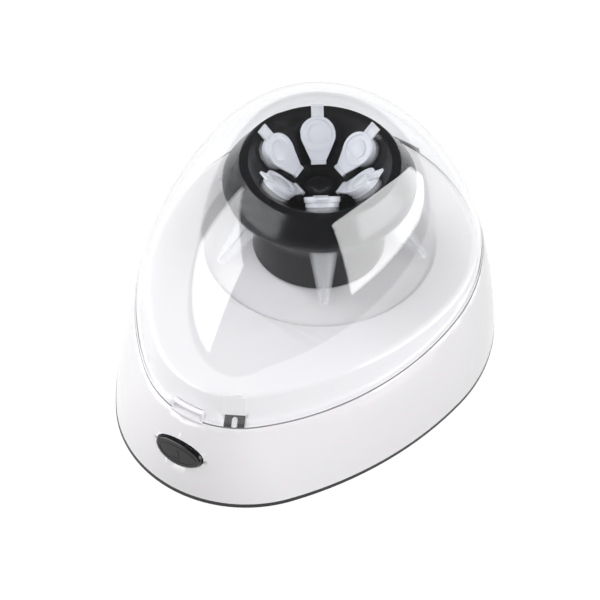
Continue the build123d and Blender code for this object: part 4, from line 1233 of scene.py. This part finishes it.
@dataclass
class Studio:
    """Light table, light tent, softboxes and the photograph's camera."""

    target: Place = (10.17 * MM, -14.06 * MM, 47.0 * MM)
    azimuth: float = 32.27
    elevation: float = 49.15
    roll: float = 0.70
    distance: float = 823.11 * MM
    lens_mm: float = 133.74
    sensor_mm: float = 36.0
    clip_near: float = 0.05
    tent_r: float = 3.3
    tent_foot: float = -0.02
    backdrop_h: float = 0.7
    backdrop_in: float = 0.1
    round_sides: int = 96
    cloth_sides: int = 64
    cloth_rings: int = 32
    cloth_smooth: float = 60.0
    room: float = 0.08
    softboxes: tuple[Softbox, ...] = (
        Softbox("long_softbox", (0.99, 1.14, 0.335), (-0.953, 0.304, 0.0), 2.68, 0.39, 16.0, mirrored=True),
        Softbox("wide_softbox", (-0.875, -0.89, 0.52), (0.7, 0.71, -0.3), 1.6, 0.85, 14.0, mirrored=True),
        Softbox("key_light", (0.75, -1.15, 1.7), (-0.35, 0.54, -0.77), 1.3, 1.3, 26.0),
        Softbox("right_fill", (1.8, 0.3, 0.5), (-0.96, -0.15, -0.25), 1.2, 0.8, 13.0),
        Softbox("left_fill", (-1.7, -0.2, 0.6), (0.94, 0.12, -0.3), 1.0, 0.8, 23.0),
    )

    def camera(self) -> None:
        """Set the camera at the photograph's place."""
        data = bpy.data.cameras.new("camera")
        data.lens = self.lens_mm
        data.sensor_width = self.sensor_mm
        data.clip_start = self.clip_near
        data.dof.use_dof = False
        eye = bpy.data.objects.new("camera", data)
        bpy.context.scene.collection.objects.link(eye)
        around = math.radians(self.azimuth)
        up = math.radians(self.elevation)
        back = Vector((math.sin(around) * math.cos(up), -math.cos(around) * math.cos(up), math.sin(up)))
        eye.location = Vector(self.target) + back * self.distance
        eye.rotation_mode = "QUATERNION"
        eye.rotation_quaternion = back.to_track_quat("Z", "Y")
        eye.rotation_mode = "XYZ"
        eye.rotation_euler.rotate_axis("Z", math.radians(self.roll))
        bpy.context.scene.camera = eye

    def tent(self) -> None:
        """Stand the light table inside a round tent that lights but isn't mirrored."""
        table = primitive(
            "circle", "light_table", vertices=self.round_sides, radius=self.tent_r, fill_type="NGON"
        )
        dress(table, OPAL)
        table.visible_diffuse = False
        cloth = primitive(
            "uv_sphere",
            "light_tent",
            segments=self.cloth_sides,
            ring_count=self.cloth_rings,
            radius=self.tent_r,
        )
        with shaping(cloth):
            bpy.ops.mesh.bisect(plane_co=(0, 0, self.tent_foot), plane_no=(0, 0, 1), clear_inner=True)
            bpy.ops.mesh.select_all(action="SELECT")
            bpy.ops.mesh.flip_normals()
        shade(cloth, self.cloth_smooth)
        dress(cloth, TENT_CLOTH)
        cloth.visible_glossy = False
        cloth.visible_transmission = False
        inside = self.tent_r - self.backdrop_in
        wall = primitive(
            "circle", "low_backdrop", vertices=self.round_sides, radius=inside, fill_type="NOTHING"
        )
        with shaping(wall):
            extrude(0, 0, self.backdrop_h)
        dress(wall, TENT_CLOTH)
        wall.visible_glossy = False
        wall.visible_diffuse = False

    def build(self) -> None:
        """Set the tent, the lights and the camera."""
        self.tent()
        world = bpy.data.worlds.new("dim room")
        world.use_nodes = True
        light = world.node_tree.nodes["Background"].inputs
        light["Color"].default_value = (1, 1, 1, 1)
        light["Strength"].default_value = self.room
        bpy.context.scene.world = world
        bpy.context.scene.view_settings.view_transform = "Standard"
        for box in self.softboxes:
            box.hang()
        self.camera()


def main() -> None:
    """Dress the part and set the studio."""
    for part in (InnerWorks(), Housing(), ClearLid(), RotorHead(), TubeSet(), ReleaseButton(), Studio()):
        part.build()


if __name__ == "__main__":
    logging.basicConfig(level=logging.INFO)
    main()
